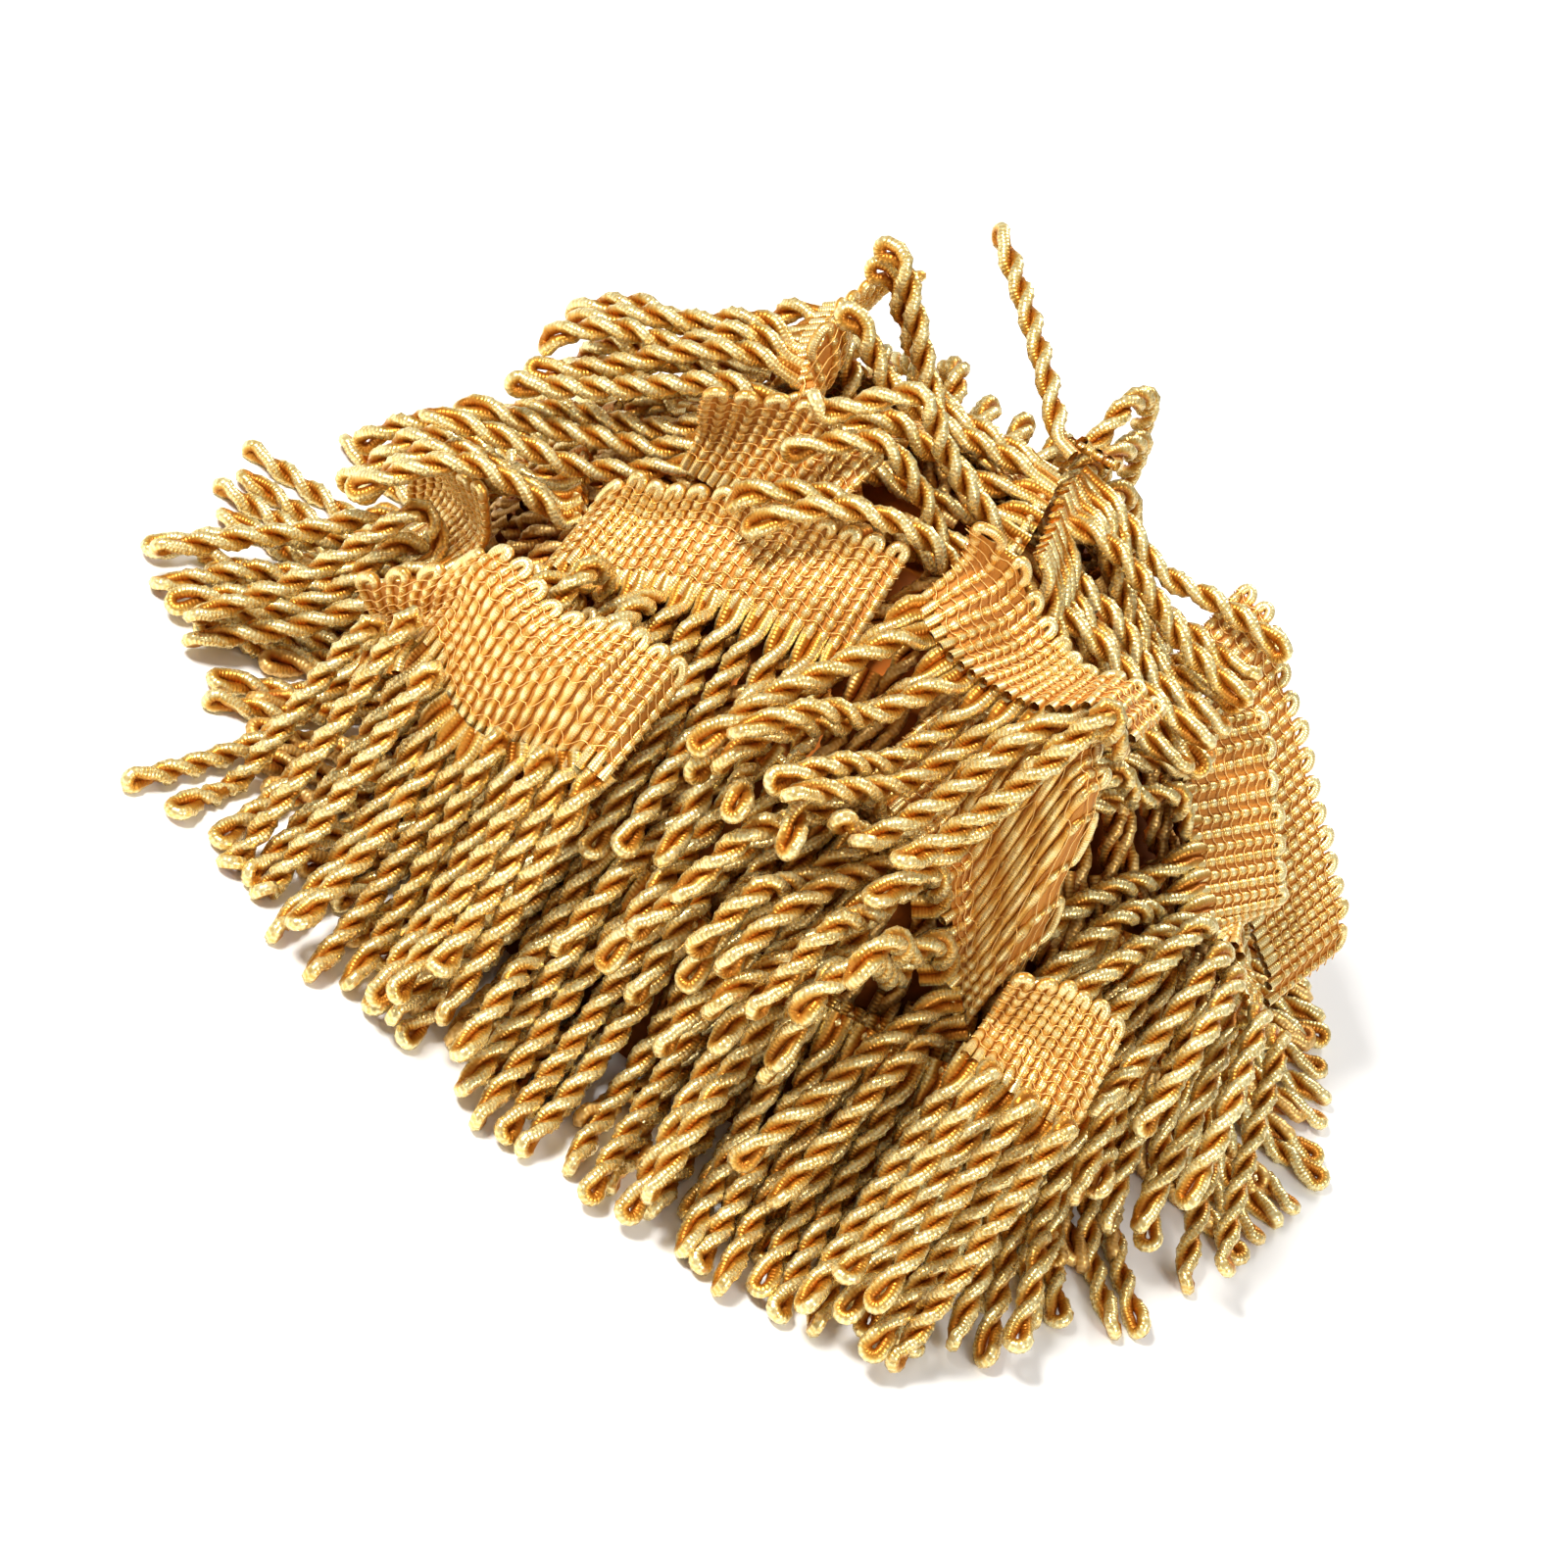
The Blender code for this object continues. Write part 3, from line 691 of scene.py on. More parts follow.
@dataclass(frozen=True)
class SatinFinish:
    """Satin yarn that is wound with fine silky thread.

    Args:
        name: The finish's name.
        deep: Its colour down in the grooves, painted there as shade.
        body: Its own colour.
        light: Its colour where the winding catches the light, painted on as a highlight.
        winding: How far apart the turns of the winding thread are, in millimetres.
        relief: How far the winding stands out, in metres.
        roughness: How dull it is.
        metallic: How much it shines like metal.
    """

    name: str
    deep: Colour
    body: Colour
    light: Colour
    winding: float = 0.90
    relief: float = 0.12 * MM
    roughness: float = 0.27
    metallic: float = 0.70

    LEAN = 0.6
    STREAK_ALONG = 0.55
    STREAK_AROUND = 0.75
    STREAK_DETAIL = 3.0
    QUARTER = 0.25
    DRIFT = 0.09
    SEEDS = 71.0
    LIT_OPEN = 1.1
    LIT_STREAK = 0.30
    BODY_CURVE = 0.8
    SHINE = 0.26
    SHINE_CURVE = 4.0
    SHINE_WINDING = 0.50
    SHINE_STREAK = 1.4
    SHINE_TINT = 0.22
    SHADE = 0.5
    TONE_FROM = 0.45
    TONE_DRIFT = 0.9
    SHADE_TINT = 0.35
    ROUGH_STREAK = 0.18
    ROUGH_DEEP = 0.12
    RAISED_WINDING = 0.75
    RAISED_STREAK = 0.5
    BUMP = 0.8
    SPECULAR = 0.6

    def make(self) -> bpy.types.Material:
        """Builds the material.

        Returns:
            The material.
        """
        graph = Graph(self.name)
        along, around = graph.thread()
        openness, tint = graph.value(PAINTED_LIGHT), graph.value(TINT)
        turns = (along * (1 / self.winding) + around * self.LEAN) * TAU
        winding = turns.sine() * 0.5 + 0.5
        seed = tint * self.SEEDS
        left = (around * TAU).sine() * self.STREAK_AROUND
        front = ((around + self.QUARTER) * TAU).sine() * self.STREAK_AROUND
        streaks = graph.noise(
            along * self.STREAK_ALONG, left, seed + front, self.STREAK_DETAIL)
        drift = graph.noise(along * self.DRIFT, 0.0, seed, 1.0)
        # Painted light and shade: lit follows the openness mask, high on a yarn's outward side and
        # low in its grooves.
        lit = (openness * self.LIT_OPEN + (streaks - 0.5) * self.LIT_STREAK).clipped()
        # Painted shade: the colour falls to the shade colour where lit is low, on the sides and in
        # the grooves.
        body = graph.blend(lit ** self.BODY_CURVE, (*self.deep, 1.0), (*self.body, 1.0))
        # Painted highlight: the pale light colour laid on the most lit crests, broken up by the
        # winding and the streaks.
        painted_highlight = (lit ** self.SHINE_CURVE) * (
            self.SHINE + winding * self.SHINE_WINDING + (streaks - 0.5) * self.SHINE_STREAK
            + tint * self.SHINE_TINT)
        highlighted = graph.blend(painted_highlight.clipped(), body, (*self.light, 1.0))
        # Darker in random patches along each cord and on random cords, which is tone, plus painted
        # shade on cords whose tint is lowered because they lie buried in the heap.
        tone_and_shade = (drift - self.TONE_FROM) * self.TONE_DRIFT + (0.5 - tint) * self.SHADE_TINT
        shaded = graph.blend(tone_and_shade.clipped() * self.SHADE, highlighted, (*self.deep, 1.0))
        graph.feed(graph.shader.inputs["Base Color"], shaded)
        rough = (self.roughness + (streaks - 0.5) * self.ROUGH_STREAK
                 + (1 - openness) * self.ROUGH_DEEP).clipped()
        graph.feed(graph.shader.inputs["Roughness"], rough)
        height = winding * self.RAISED_WINDING + streaks * self.RAISED_STREAK
        bump = graph.node(
            "ShaderNodeBump", {},
            {"Strength": self.BUMP, "Distance": self.relief, "Height": height})
        graph.feed(graph.shader.inputs["Normal"], bump.outputs[0])
        graph.shader.inputs["Metallic"].default_value = self.metallic
        graph.shader.inputs["Specular IOR Level"].default_value = self.SPECULAR
        return graph.material


class Finishes:
    """All the finishes of the trim."""

    CORD = SatinFinish("cord_satin", (0.46, 0.14, 0.005), (0.72, 0.43, 0.062), (1.0, 0.88, 0.46))
    RIB = SatinFinish(
        "rib_satin", (0.54, 0.16, 0.006), (0.78, 0.46, 0.070), (1.0, 0.89, 0.48),
        winding=0.60, relief=0.06 * MM)
    WARP = SatinFinish(
        "warp_thread", (0.60, 0.19, 0.010), (0.86, 0.46, 0.08), (1.0, 0.80, 0.38),
        winding=0.6, relief=0.03 * MM, roughness=0.42)
    # Painted shade: a darker, more orange copy of the cord satin, for the cords and the mound
    # inside the heap.
    INSIDE = SatinFinish(
        "inner_satin", (0.38, 0.10, 0.004), (0.66, 0.35, 0.045), (0.95, 0.66, 0.26),
        roughness=0.40)
    # Painted shade: the cloth is real, and its darker orange stands in for the shade seen between
    # the ribs.
    GROUND = SatinFinish(
        "woven_ground", (0.50, 0.14, 0.006), (0.70, 0.32, 0.035), (0.88, 0.55, 0.15),
        winding=0.5, relief=0.05 * MM, roughness=0.55, metallic=0.1)

    def __init__(self) -> None:
        """Makes each material once."""
        self.cord = self.CORD.make()
        self.rib = self.RIB.make()
        self.warp = self.WARP.make()
        self.inside = self.INSIDE.make()
        self.ground = self.GROUND.make()


class Twist(Enum):
    """The hand in which the plies turn round each other."""

    LEFT = -1
    RIGHT = 1


@dataclass
class BullionCord:
    """How one hanging cord is twisted from two plies.

    Args:
        ply_radius: The radius of a ply.
        apart: How far a ply's middle is from the cord's middle.
        apart_at_root: The same where the plies leave the heading.
        lay: The length of one full turn.
        eye: The radius of the eye at the tip.
        neck: How far the plies run back into the heading.
        samples: How many points each ply has.
        sides: How many sides a ply has.
        twist: The hand of the twist.
    """

    ply_radius: float = 1.62 * MM
    apart: float = 1.46 * MM
    apart_at_root: float = 1.55 * MM
    lay: float = 16.5 * MM
    eye: float = 1.9 * MM
    neck: float = 4.4 * MM
    samples: int = 34
    sides: int = 7
    twist: Twist = Twist.RIGHT

    ARC = 5
    FINE = 12
    START = 3.0 * MM
    END = 5.0 * MM
    TINT_SPREAD = 0.5
    LAY_SPREAD = 0.08
    GIRTH_SPREAD = 0.035
    WAVER = 0.03
    WAVER_PER_MM = 0.9

    def lay_out(self, basket: Basket, lines: CordLines, rng: np.random.Generator,
                buried_shade: float = 0.0) -> None:
        """Adds the cords to a basket.

        Args:
            basket: What they are added to.
            lines: Their centre lines.
            rng: The source of the small differences between them.
            buried_shade: How much darker they all are, painted shade for cords buried in the heap.
        """
        number = len(lines.joints)
        first = np.linalg.norm(lines.joints[:, 1] - lines.joints[:, 0], axis=1)[:, None, None]
        before = lines.joints[:, :1] - lines.away[:, None] * first
        after = 2 * lines.joints[:, -1:] - lines.joints[:, -2:-1]
        controls = np.concatenate((before, lines.joints, after), axis=1)
        spans = lines.joints.shape[1] - 1
        fine = through(controls, np.linspace(0, spans, self.FINE * spans + 1))
        middle = evenly(fine, self.samples - 2)
        necks = [lines.joints[:, :1] - lines.away[:, None] * self.neck * share
                 for share in (1.0, 0.5)]
        middle = np.concatenate((*necks, middle), axis=1)
        tangents = unit(np.gradient(middle, axis=1))
        run = run_along(middle) - self.neck
        length = run[:, -1:]
        side = self.carried(lines.across, tangents)
        up = np.cross(tangents, side)
        lay = self.lay * (1 + self.LAY_SPREAD * rng.uniform(-1, 1, (number, 1)))
        started = np.maximum(run - self.START * (1 - np.exp(-np.maximum(run, 0) / self.START)), 0)
        stopped = started - 0.5 * self.END * eased((run - (length - self.END)) / self.END)
        angle = self.twist.value * TAU * stopped / lay
        loosened = eased((run - (length - self.END)) / self.END)
        close = eased((run + self.neck) / (3 * self.neck))
        apart = (self.apart_at_root + (self.apart - self.apart_at_root) * close
                 + (self.eye - self.apart) * loosened)
        out = side * np.cos(angle)[..., None] + up * np.sin(angle)[..., None]
        there = middle + out * apart[..., None]
        back = middle - out * apart[..., None]
        theta = (np.arange(1, self.ARC + 1) * math.pi / (self.ARC + 1))[None, :, None]
        radial = out[:, -1:] * np.cos(theta) + tangents[:, -1:] * np.sin(theta)
        arc = middle[:, -1:] + radial * apart[:, -1:, None]
        paths = np.concatenate((there, arc, back[:, ::-1]), axis=1)
        normals = np.concatenate((out, radial, -out[:, ::-1]), axis=1)
        girth = self.ply_radius * (1 + self.GIRTH_SPREAD * rng.uniform(-1, 1, (number, 1)))
        wave = np.sin(run_along(paths) / MM * self.WAVER_PER_MM + number)
        radii = girth * (1 + self.WAVER * wave)
        paths[..., 2] = np.maximum(paths[..., 2], radii)
        # A random tint for each cord, lowered by the painted shade of cords buried in the heap.
        tints = np.clip(0.5 + self.TINT_SPREAD * rng.uniform(-1, 1, number) - buried_shade, 0, 1)
        basket.tubes(paths, normals, radii, self.sides, tints, Shown.OUTER)

    @staticmethod
    def carried(first: np.ndarray, tangents: np.ndarray) -> np.ndarray:
        """A side direction carried along each line without turning.

        Args:
            first: The direction at the start of each line.
            tangents: The lines' directions.

        Returns:
            The direction at each point.
        """
        sides = np.empty_like(tangents)
        side = first
        for k in range(tangents.shape[1]):
            along = tangents[:, k]
            side = unit(side - (side * along).sum(axis=1, keepdims=True) * along)
            sides[:, k] = side
        return sides


@dataclass
class WovenHeading:
    """How the heading is woven from ribs and warp threads.

    Args:
        rib_radius: The radius of a satin rib.
        rows: How many rows of warp thread cross the ribs.
        first_row: Where the first row is, from the root.
        last_row: Where the last row is.
        pinch: How much a row narrows the ribs.
        warp_radius: The radius of a warp thread.
        zigzag: How far a warp thread swings to each side of its row.
        rib_sides: How many sides a rib has.
        warp_sides: How many sides a warp thread has.
    """

    rib_radius: float = 1.28 * MM
    rows: int = 8
    first_row: float = 1.4 * MM
    last_row: float = 21.6 * MM
    pinch: float = 0.26
    warp_radius: float = 0.17 * MM
    zigzag: float = 0.55 * MM
    rib_sides: int = 7
    warp_sides: int = 4

    LEGS = (0.25, 0.75)
    LEG_SAMPLES = 38
    TURN_SAMPLES = 7
    ROOT = -3.0 * MM
    TOP = 23.4 * MM
    TOP_SPREAD = 0.5 * MM
    WARP_PER_RIB = 4
    GROUND_PER_STATION = 3
    GROUND_ROWS = 12
    GROUND_FROM = 0.2 * MM
    GROUND_TO = 22.6 * MM
    GROUND_INSET = 0.1
    GROUND_OPEN = 0.35
    PINCH_WIDTH = 0.70 * MM
    SHADE = 0.55
    RIB_SHARE = 0.255
    RIB_SPREAD = 0.03
    RIB_TINT = 0.55
    RIB_TINT_SPREAD = 0.4
    WARP_INSET = 0.02
    WARP_OVER = 0.6
    WARP_CURVE = 0.6
    WARP_LEAST = 0.45 * MM
    WARP_TINTS = (0.3, 0.8)

    def row_places(self) -> np.ndarray:
        """Where the rows of warp are across the heading."""
        return np.linspace(self.first_row, self.last_row, self.rows)

    def ribs(self, basket: Basket, lie: HeadingLie, rng: np.random.Generator) -> None:
        """Adds the ribs, each a hairpin that turns at the scalloped edge.

        Args:
            basket: What they are added to.
            lie: The surface they lie on.
            rng: The source of the small differences between them.
        """
        number = lie.stations
        base = np.arange(number)[:, None]
        top = self.TOP + self.TOP_SPREAD * rng.uniform(-1, 1, (number, 1))
        climb = np.linspace(0, 1, self.LEG_SAMPLES)[None, :]
        leg = self.ROOT + (top - self.ROOT) * climb
        half = (self.LEGS[1] - self.LEGS[0]) / 2
        theta = np.linspace(0, math.pi, self.TURN_SAMPLES + 2)[None, 1:-1]
        pitch = lie.length / lie.stations
        turn_along = base + 0.5 - half * np.cos(theta)
        turn_across = top + half * pitch * np.sin(theta)
        along = np.concatenate((
            np.broadcast_to(base + self.LEGS[0], leg.shape), turn_along,
            np.broadcast_to(base + self.LEGS[1], leg.shape)), axis=1)
        across = np.concatenate((leg, turn_across, leg[:, ::-1]), axis=1)
        points, normals = lie.at(along, across)
        near = np.abs(across[..., None] - self.row_places()[None, None]).min(axis=-1)
        tight = np.exp(-(near / self.PINCH_WIDTH) ** 2)
        size = min(self.rib_radius, self.RIB_SHARE * pitch)
        uneven = 1 + self.RIB_SPREAD * rng.uniform(-1, 1, (number, 1))
        radii = size * (1 - self.pinch * tight) * uneven
        tints = self.RIB_TINT + self.RIB_TINT_SPREAD * rng.uniform(-1, 1, number)
        tints = np.clip(tints, 0, 1)
        # Painted shade: the ribs are drawn darker where the warp rows pinch them.
        basket.tubes(
            points, normals, radii, self.rib_sides, tints, Shown.BOTH, 1 - self.SHADE * tight)

    def warps(self, basket: Basket, lie: HeadingLie) -> None:
        """Adds the rows of warp thread on both faces.

        Args:
            basket: What they are added to.
            lie: The surface they lie on.
        """
        ribs = 2 * lie.stations
        count = ribs * self.WARP_PER_RIB + 1
        along = np.linspace(self.WARP_INSET, lie.stations - self.WARP_INSET, count)
        phase = (along * 2 - 0.5) * math.pi
        over = np.abs(np.cos(phase))
        top = self.rib_radius * (1 - self.pinch) + self.warp_radius * self.WARP_OVER
        lift = top * over ** self.WARP_CURVE
        swing = self.zigzag * np.cos(phase)
        for face in (1.0, -1.0):
            across = self.row_places()[:, None] + face * swing[None]
            spread = np.broadcast_to(along, across.shape)
            points, normals = lie.at(spread, across)
            lifted = np.maximum(lift, self.WARP_LEAST)[None, :, None]
            paths = points + face * normals * lifted
            radii = np.full(across.shape, self.warp_radius)
            tints = np.linspace(*self.WARP_TINTS, self.rows)
            basket.tubes(paths, face * normals, radii, self.warp_sides, tints, Shown.OUTER)

    def ground(self, basket: Basket, lie: HeadingLie) -> float:
        """Adds the cloth behind the ribs, painted mostly in its shade colour.

        Args:
            basket: What it is added to.
            lie: The surface it lies on.

        Returns:
            The cloth's flat width.
        """
        along = np.linspace(
            self.GROUND_INSET, lie.stations - self.GROUND_INSET,
            self.GROUND_PER_STATION * lie.stations + 1)
        across = np.linspace(self.GROUND_FROM, self.GROUND_TO, self.GROUND_ROWS)
        a, b = np.meshgrid(along, across, indexing="ij")
        points, _ = lie.at(a, b)
        # Painted shade: a low openness keeps the cloth between the ribs mostly in its shade
        # colour.
        level = np.full(points.shape[:2], self.GROUND_OPEN)[None]
        pitch = lie.length / lie.stations
        basket.grids(
            points[None], (along * pitch / MM)[None], across / MM, level, np.array([0.5]), False)
        return self.GROUND_TO - self.GROUND_FROM


@dataclass
class Stretch:
    """One stretch of the trim that shows.

    Args:
        name: The stretch's name in the CAD part.
        fringe: Its fringe node, if its cords show.
        heading: Its heading node, if its heading shows.
    """

    name: str
    fringe: bpy.types.Object | None = None
    heading: bpy.types.Object | None = None
    lines: CordLines | None = field(default=None, init=False)
    lie: HeadingLie | None = field(default=None, init=False)

    FRINGE = "fringe_"
    HEADING = "heading_"
    BINDING_RADIUS = 1.25 * MM
    BINDING_BACK = 2.4 * MM
    BINDING_SIDES = 7
    BINDING_SAMPLES = 5

    def read(self) -> None:
        """Reads the stretch's cords and its heading's lie from the CAD part."""
        if self.fringe:
            self.lines = CordLines.read(WeldedNode(self.fringe))
        if self.heading:
            roots = None if self.lines is None else self.lines.joints[:, 0]
            self.lie = HeadingLie(WeldedNode(self.heading), roots)

    def dress(self, finishes: Finishes, rng: np.random.Generator) -> None:
        """Builds the stretch's cords and heading.

        Args:
            finishes: The finishes.
            rng: The source of small differences.
        """
        if self.lines is not None:
            basket = Basket()
            BullionCord().lay_out(basket, self.lines, rng)
            if self.lie is None:
                self.binding(basket)
            cords = basket.build("cords_" + self.name, finishes.cord)
            self.settle(cords, self.FRINGE + self.name)
            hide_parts(self.FRINGE + self.name)
            log.info("cords_%s: %d cords", self.name, len(self.lines.joints))
        if self.lie is not None:
            weave = WovenHeading()
            basket = Basket()
            weave.ribs(basket, self.lie, rng)
            ribs = basket.build("ribs_" + self.name, finishes.rib)
            basket = Basket()
            weave.warps(basket, self.lie)
            warp = basket.build("warp_" + self.name, finishes.warp)
            basket = Basket()
            width = weave.ground(basket, self.lie)
            ground = basket.build("ground_" + self.name, finishes.ground)
            for piece in (ribs, warp, ground):
                self.settle(piece, self.HEADING + self.name)
            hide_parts(self.HEADING + self.name)
            log.info("heading_%s: %d ribs", self.name, 2 * self.lie.stations)

    def binding(self, basket: Basket) -> None:
        """Adds the bound edge that holds the roots of cords whose heading is out of sight.

        Args:
            basket: What it is added to.
        """
        roots = self.lines.joints[:, 0] - self.lines.away * self.BINDING_BACK
        if len(roots) < 2:
            return
        ends = extended(roots[None])[0]
        path = np.concatenate((
            (roots[:1] + ends[:1]) / 2, roots, (roots[-1:] + ends[-1:]) / 2))[None]
        path = evenly(path, self.BINDING_SAMPLES * len(roots))
        tangents = unit(np.gradient(path, axis=1))
        normals = np.cross(tangents, np.array((0.0, 0.0, 1.0)))
        normals = np.cross(normals, tangents)
        radii = np.full(path.shape[:2], self.BINDING_RADIUS)
        basket.tubes(
            path, normals, radii, self.BINDING_SIDES, np.array([0.5]), Shown.BOTH)

    @staticmethod
    def settle(piece: bpy.types.Object, node: str) -> None:
        """Puts a piece on the part's body."""
        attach(piece, BODY)


@dataclass
class InnerTurns:
    """The cords that fill the inside of the heap, over a dark mound.

    Args:
        rings: For each ring of cords, how far out it starts and how many cords it has.
        sunk: How far the cords lie below the mound's surface.
        shrunk: How far the mound that shows is inside the CAD one.
        length: A cord's length.
    """

    rings: tuple[tuple[float, int], ...] = (
        (0.10, 12), (0.30, 24), (0.50, 38), (0.70, 52), (0.88, 62))
    sunk: float = -2.2 * MM
    shrunk: float = 4.0 * MM
    length: float = 58 * MM

    NODE = "inner_turns"
    STEPS = 15
    KEPT = 3
    AIM_SPREAD = 22
    BEND_SPREAD = 16
    LEVEL_SPREAD = 1.2 * MM
    HIGH = 0.5
    FLOOR = 2.9 * MM
    BEARING_SPREAD = 0.25
    CORD_SAMPLES = 28
    CORD_SIDES = 6
    # Painted shade: the cords inside the heap are drawn darker, as if in its shadow.
    DIM = 0.2

    def dress(self, node: bpy.types.Object, finishes: Finishes, rng: np.random.Generator) -> None:
        """Builds the inside of the heap.

        Args:
            node: The CAD mound.
            finishes: The finishes.
            rng: The source of the cords' differences.
        """
        points = [v.co.copy() for v in node.data.vertices]
        faces = [tuple(p.vertices) for p in node.data.polygons]
        tree = BVHTree.FromPolygons(points, faces)
        low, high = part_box(self.NODE)
        middle, half = (low + high) / 2, (high - low) / 2
        joints, across, away = [], [], []
        for reach, count in self.rings:
            for k in range(count):
                off = rng.uniform(-self.BEARING_SPREAD, self.BEARING_SPREAD)
                bearing = TAU * (k + off) / count
                place = np.array((
                    middle.x + half.x * reach * math.cos(bearing),
                    middle.y + half.y * reach * math.sin(bearing)))
                aim = bearing + math.radians(rng.uniform(-1, 1) * self.AIM_SPREAD)
                line = self.laid(tree, place, aim, rng)
                out = unit(line[1] - line[0])
                joints.append(line)
                away.append(out)
                across.append(unit(np.cross(out, (0.0, 0.0, 1.0))))
        basket = Basket()
        cord = BullionCord(samples=self.CORD_SAMPLES, sides=self.CORD_SIDES)
        lines = CordLines(np.array(joints), np.array(across), np.array(away))
        cord.lay_out(basket, lines, rng, self.DIM)
        inside = basket.build("inner_cords", finishes.inside)
        mound = self.mound(node, finishes)
        for piece in (inside, mound):
            Stretch.settle(piece, self.NODE)
        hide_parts(self.NODE)
        log.info("inner_cords: %d cords", len(joints))

    def laid(self, tree: BVHTree, place: np.ndarray, aim: float, rng: np.random.Generator
             ) -> np.ndarray:
        """A cord's joints, laid down the mound from a place.

        Args:
            tree: The mound.
            place: Where the cord starts, in plan.
            aim: The direction it runs in, in plan.
            rng: The source of its differences.

        Returns:
            The joints.
        """
        step = self.length / self.STEPS
        bend = math.radians(rng.uniform(-1, 1) * self.BEND_SPREAD) / self.STEPS
        off = rng.uniform(-1, 1) * self.LEVEL_SPREAD - self.sunk
        level = self.level(tree, place) + off
        line = [(*place, max(level, self.FLOOR))]
        for _ in range(self.STEPS):
            aim += bend
            way = np.array((math.cos(aim), math.sin(aim)))
            ahead = self.level(tree, place + way * step * 0.5) + off
            slope = (max(ahead, self.FLOOR) - line[-1][2]) / (0.5 * step)
            place = place + way * step / math.hypot(1, slope)
            level = max(self.level(tree, place) + off, self.FLOOR)
            line.append((*place, level))
        return np.array(line[:: self.KEPT])

    def level(self, tree: BVHTree, place: np.ndarray) -> float:
        """The mound's height at a place in plan, or 0 off the mound."""
        hit = tree.ray_cast(Vector((*place, self.HIGH)), Vector((0, 0, -1)))[0]
        return hit.z if hit is not None else 0.0

    def mound(self, node: bpy.types.Object, finishes: Finishes) -> bpy.types.Object:
        """The mound under the cords, painted in the shade colour as the shade inside the heap.

        Args:
            node: The CAD mound.
            finishes: The finishes.

        Returns:
            The mound.
        """
        welded = bmesh.new()
        welded.from_mesh(node.data)
        bmesh.ops.remove_doubles(welded, verts=welded.verts, dist=WELD)
        bmesh.ops.recalc_face_normals(welded, faces=welded.faces)
        welded.normal_update()
        for vertex in welded.verts:
            if vertex.co.z > self.shrunk:
                vertex.co -= vertex.normal * self.shrunk
        mesh = bpy.data.meshes.new("inner_mound")
        welded.to_mesh(mesh)
        welded.free()
        mesh.shade_smooth()
        # Painted shade: with no openness values on it, the mound takes the shade colour of the
        # inner satin.
        mesh.materials.append(finishes.inside)
        return linked("inner_mound", mesh)


@dataclass(frozen=True)
class Lamp:
    """A soft lamp aimed at the heap.

    Args:
        name: Its name.
        place: Where it is.
        size: How wide it is.
        power: Its power in watts.
        colour: Its colour.
    """

    name: str
    place: tuple[float, float, float]
    size: float
    power: float
    colour: Colour


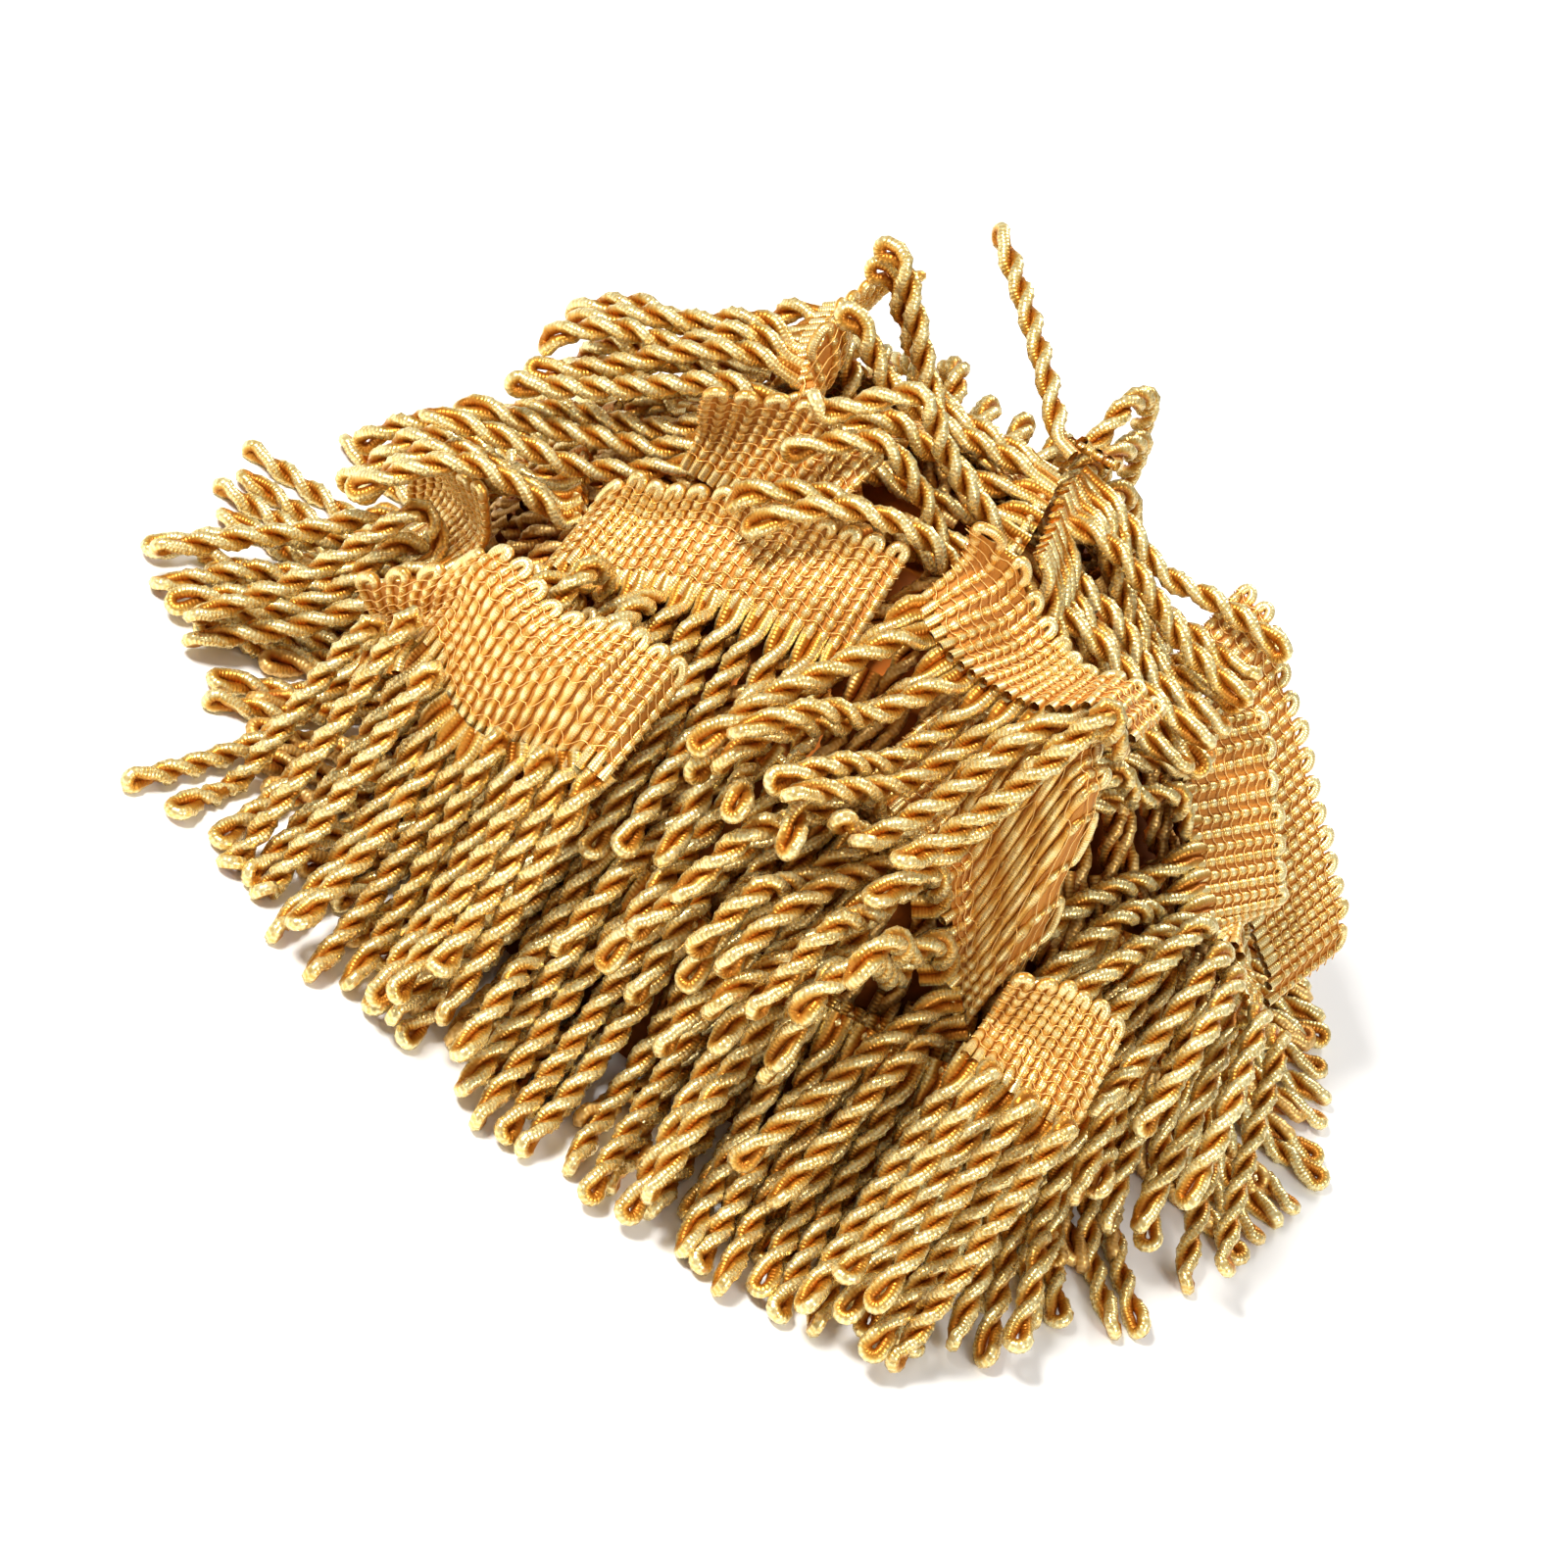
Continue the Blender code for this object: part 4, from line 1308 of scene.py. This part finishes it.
@dataclass
class Studio:
    """The floor, the light and the camera.

    Args:
        target: The point that the picture is aimed by.
        away: How far the camera is from it.
        elevation: The camera's height, in degrees.
        roll: How far the picture is turned, in degrees.
        aside: How far the camera is moved in the picture's plane.
        lens: The lens, in millimetres.
    """

    target: tuple[float, float, float] = (8.7 * MM, 13.9 * MM, 52 * MM)
    away: float = 0.95
    elevation: float = 38.0
    roll: float = 31.0
    aside: tuple[float, float] = (-27.4 * MM, -26.6 * MM)
    lens: float = 94.0

    FLOOR_SIZE = 8.0
    FLOOR_COLOUR = (0.90, 0.895, 0.885)
    FLOOR_ROUGHNESS = 0.85
    SENSOR = 36.0
    NEAREST = 0.05
    LAMPS = (
        Lamp("key", (-0.62, -0.42, 1.05), 0.28, 21.0, (1.0, 0.99, 0.96)),
        Lamp("fill", (0.95, -0.75, 0.75), 0.5, 7.5, (1.0, 0.99, 0.98)),
        Lamp("back", (0.25, 1.05, 0.9), 0.5, 8.5, (1.0, 0.99, 0.98)),
    )
    WORLD = (1.0, 0.995, 0.985)
    WORLD_LIGHT = 0.42

    def build(self) -> None:
        """Builds the studio round the part."""
        self.floor()
        self.camera()
        for lamp in self.LAMPS:
            self.lamp(lamp)
        world = bpy.data.worlds.new("studio")
        world.use_nodes = True
        backdrop = world.node_tree.nodes["Background"]
        backdrop.inputs["Color"].default_value = (*self.WORLD, 1.0)
        backdrop.inputs["Strength"].default_value = self.WORLD_LIGHT
        bpy.context.scene.world = world
        bpy.context.scene.view_settings.view_transform = "Standard"

    def floor(self) -> None:
        """Adds the pale floor."""
        half = self.FLOOR_SIZE / 2
        mesh = bpy.data.meshes.new("floor")
        mesh.from_pydata(
            [(-half, -half, 0), (half, -half, 0), (half, half, 0), (-half, half, 0)],
            [], [(0, 1, 2, 3)])
        graph = Graph("floor")
        graph.shader.inputs["Base Color"].default_value = (*self.FLOOR_COLOUR, 1.0)
        graph.shader.inputs["Roughness"].default_value = self.FLOOR_ROUGHNESS
        mesh.materials.append(graph.material)
        linked("floor", mesh)

    def camera(self) -> None:
        """Adds the camera at the picture's angle."""
        data = bpy.data.cameras.new("camera")
        data.lens = self.lens
        data.sensor_width = self.SENSOR
        data.clip_start = self.NEAREST
        made = linked("camera", data)
        lift = math.radians(self.elevation)
        back = Vector((0, -math.cos(lift), math.sin(lift)))
        upright = (-back).to_track_quat("-Z", "Y").to_matrix()
        turned = upright @ Matrix.Rotation(math.radians(self.roll), 3, "Z")
        made.rotation_mode = "QUATERNION"
        made.rotation_quaternion = turned.to_quaternion()
        right, up = turned.col[0], turned.col[1]
        made.location = (
            Vector(self.target) + back * self.away + right * self.aside[0] + up * self.aside[1])
        bpy.context.scene.camera = made

    def lamp(self, lamp: Lamp) -> None:
        """Adds a lamp.

        Args:
            lamp: The lamp.
        """
        data = bpy.data.lights.new(lamp.name, "AREA")
        data.size = lamp.size
        data.energy = lamp.power
        data.color = lamp.colour
        made = linked(lamp.name, data)
        made.location = lamp.place
        made.rotation_mode = "QUATERNION"
        aim = Vector(self.target) - Vector(lamp.place)
        made.rotation_quaternion = aim.to_track_quat("-Z", "Y")


def stretches(nodes: dict[str, bpy.types.Object]) -> list[Stretch]:
    """The stretches that the part's nodes make.

    Args:
        nodes: The part's nodes by name.

    Returns:
        The stretches in the order of their names.
    """
    found: dict[str, Stretch] = {}
    for name in sorted(nodes):
        if name.startswith(Stretch.FRINGE):
            key = name.removeprefix(Stretch.FRINGE)
            found.setdefault(key, Stretch(key)).fringe = nodes[name]
        elif name.startswith(Stretch.HEADING):
            key = name.removeprefix(Stretch.HEADING)
            found.setdefault(key, Stretch(key)).heading = nodes[name]
    return [found[key] for key in sorted(found)]


def main() -> None:
    """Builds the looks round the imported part."""
    logging.basicConfig(level=logging.INFO, format="%(message)s")
    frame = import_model()
    finishes = Finishes()
    for number, stretch in enumerate(stretches(frame["nodes"])):
        stretch.read()
        stretch.dress(finishes, np.random.default_rng(STRETCH_SEED + number))
    inside = frame["nodes"][InnerTurns.NODE]
    InnerTurns().dress(inside, finishes, np.random.default_rng(INSIDE_SEED))
    Studio().build()


if __name__ == "__main__":
    main()
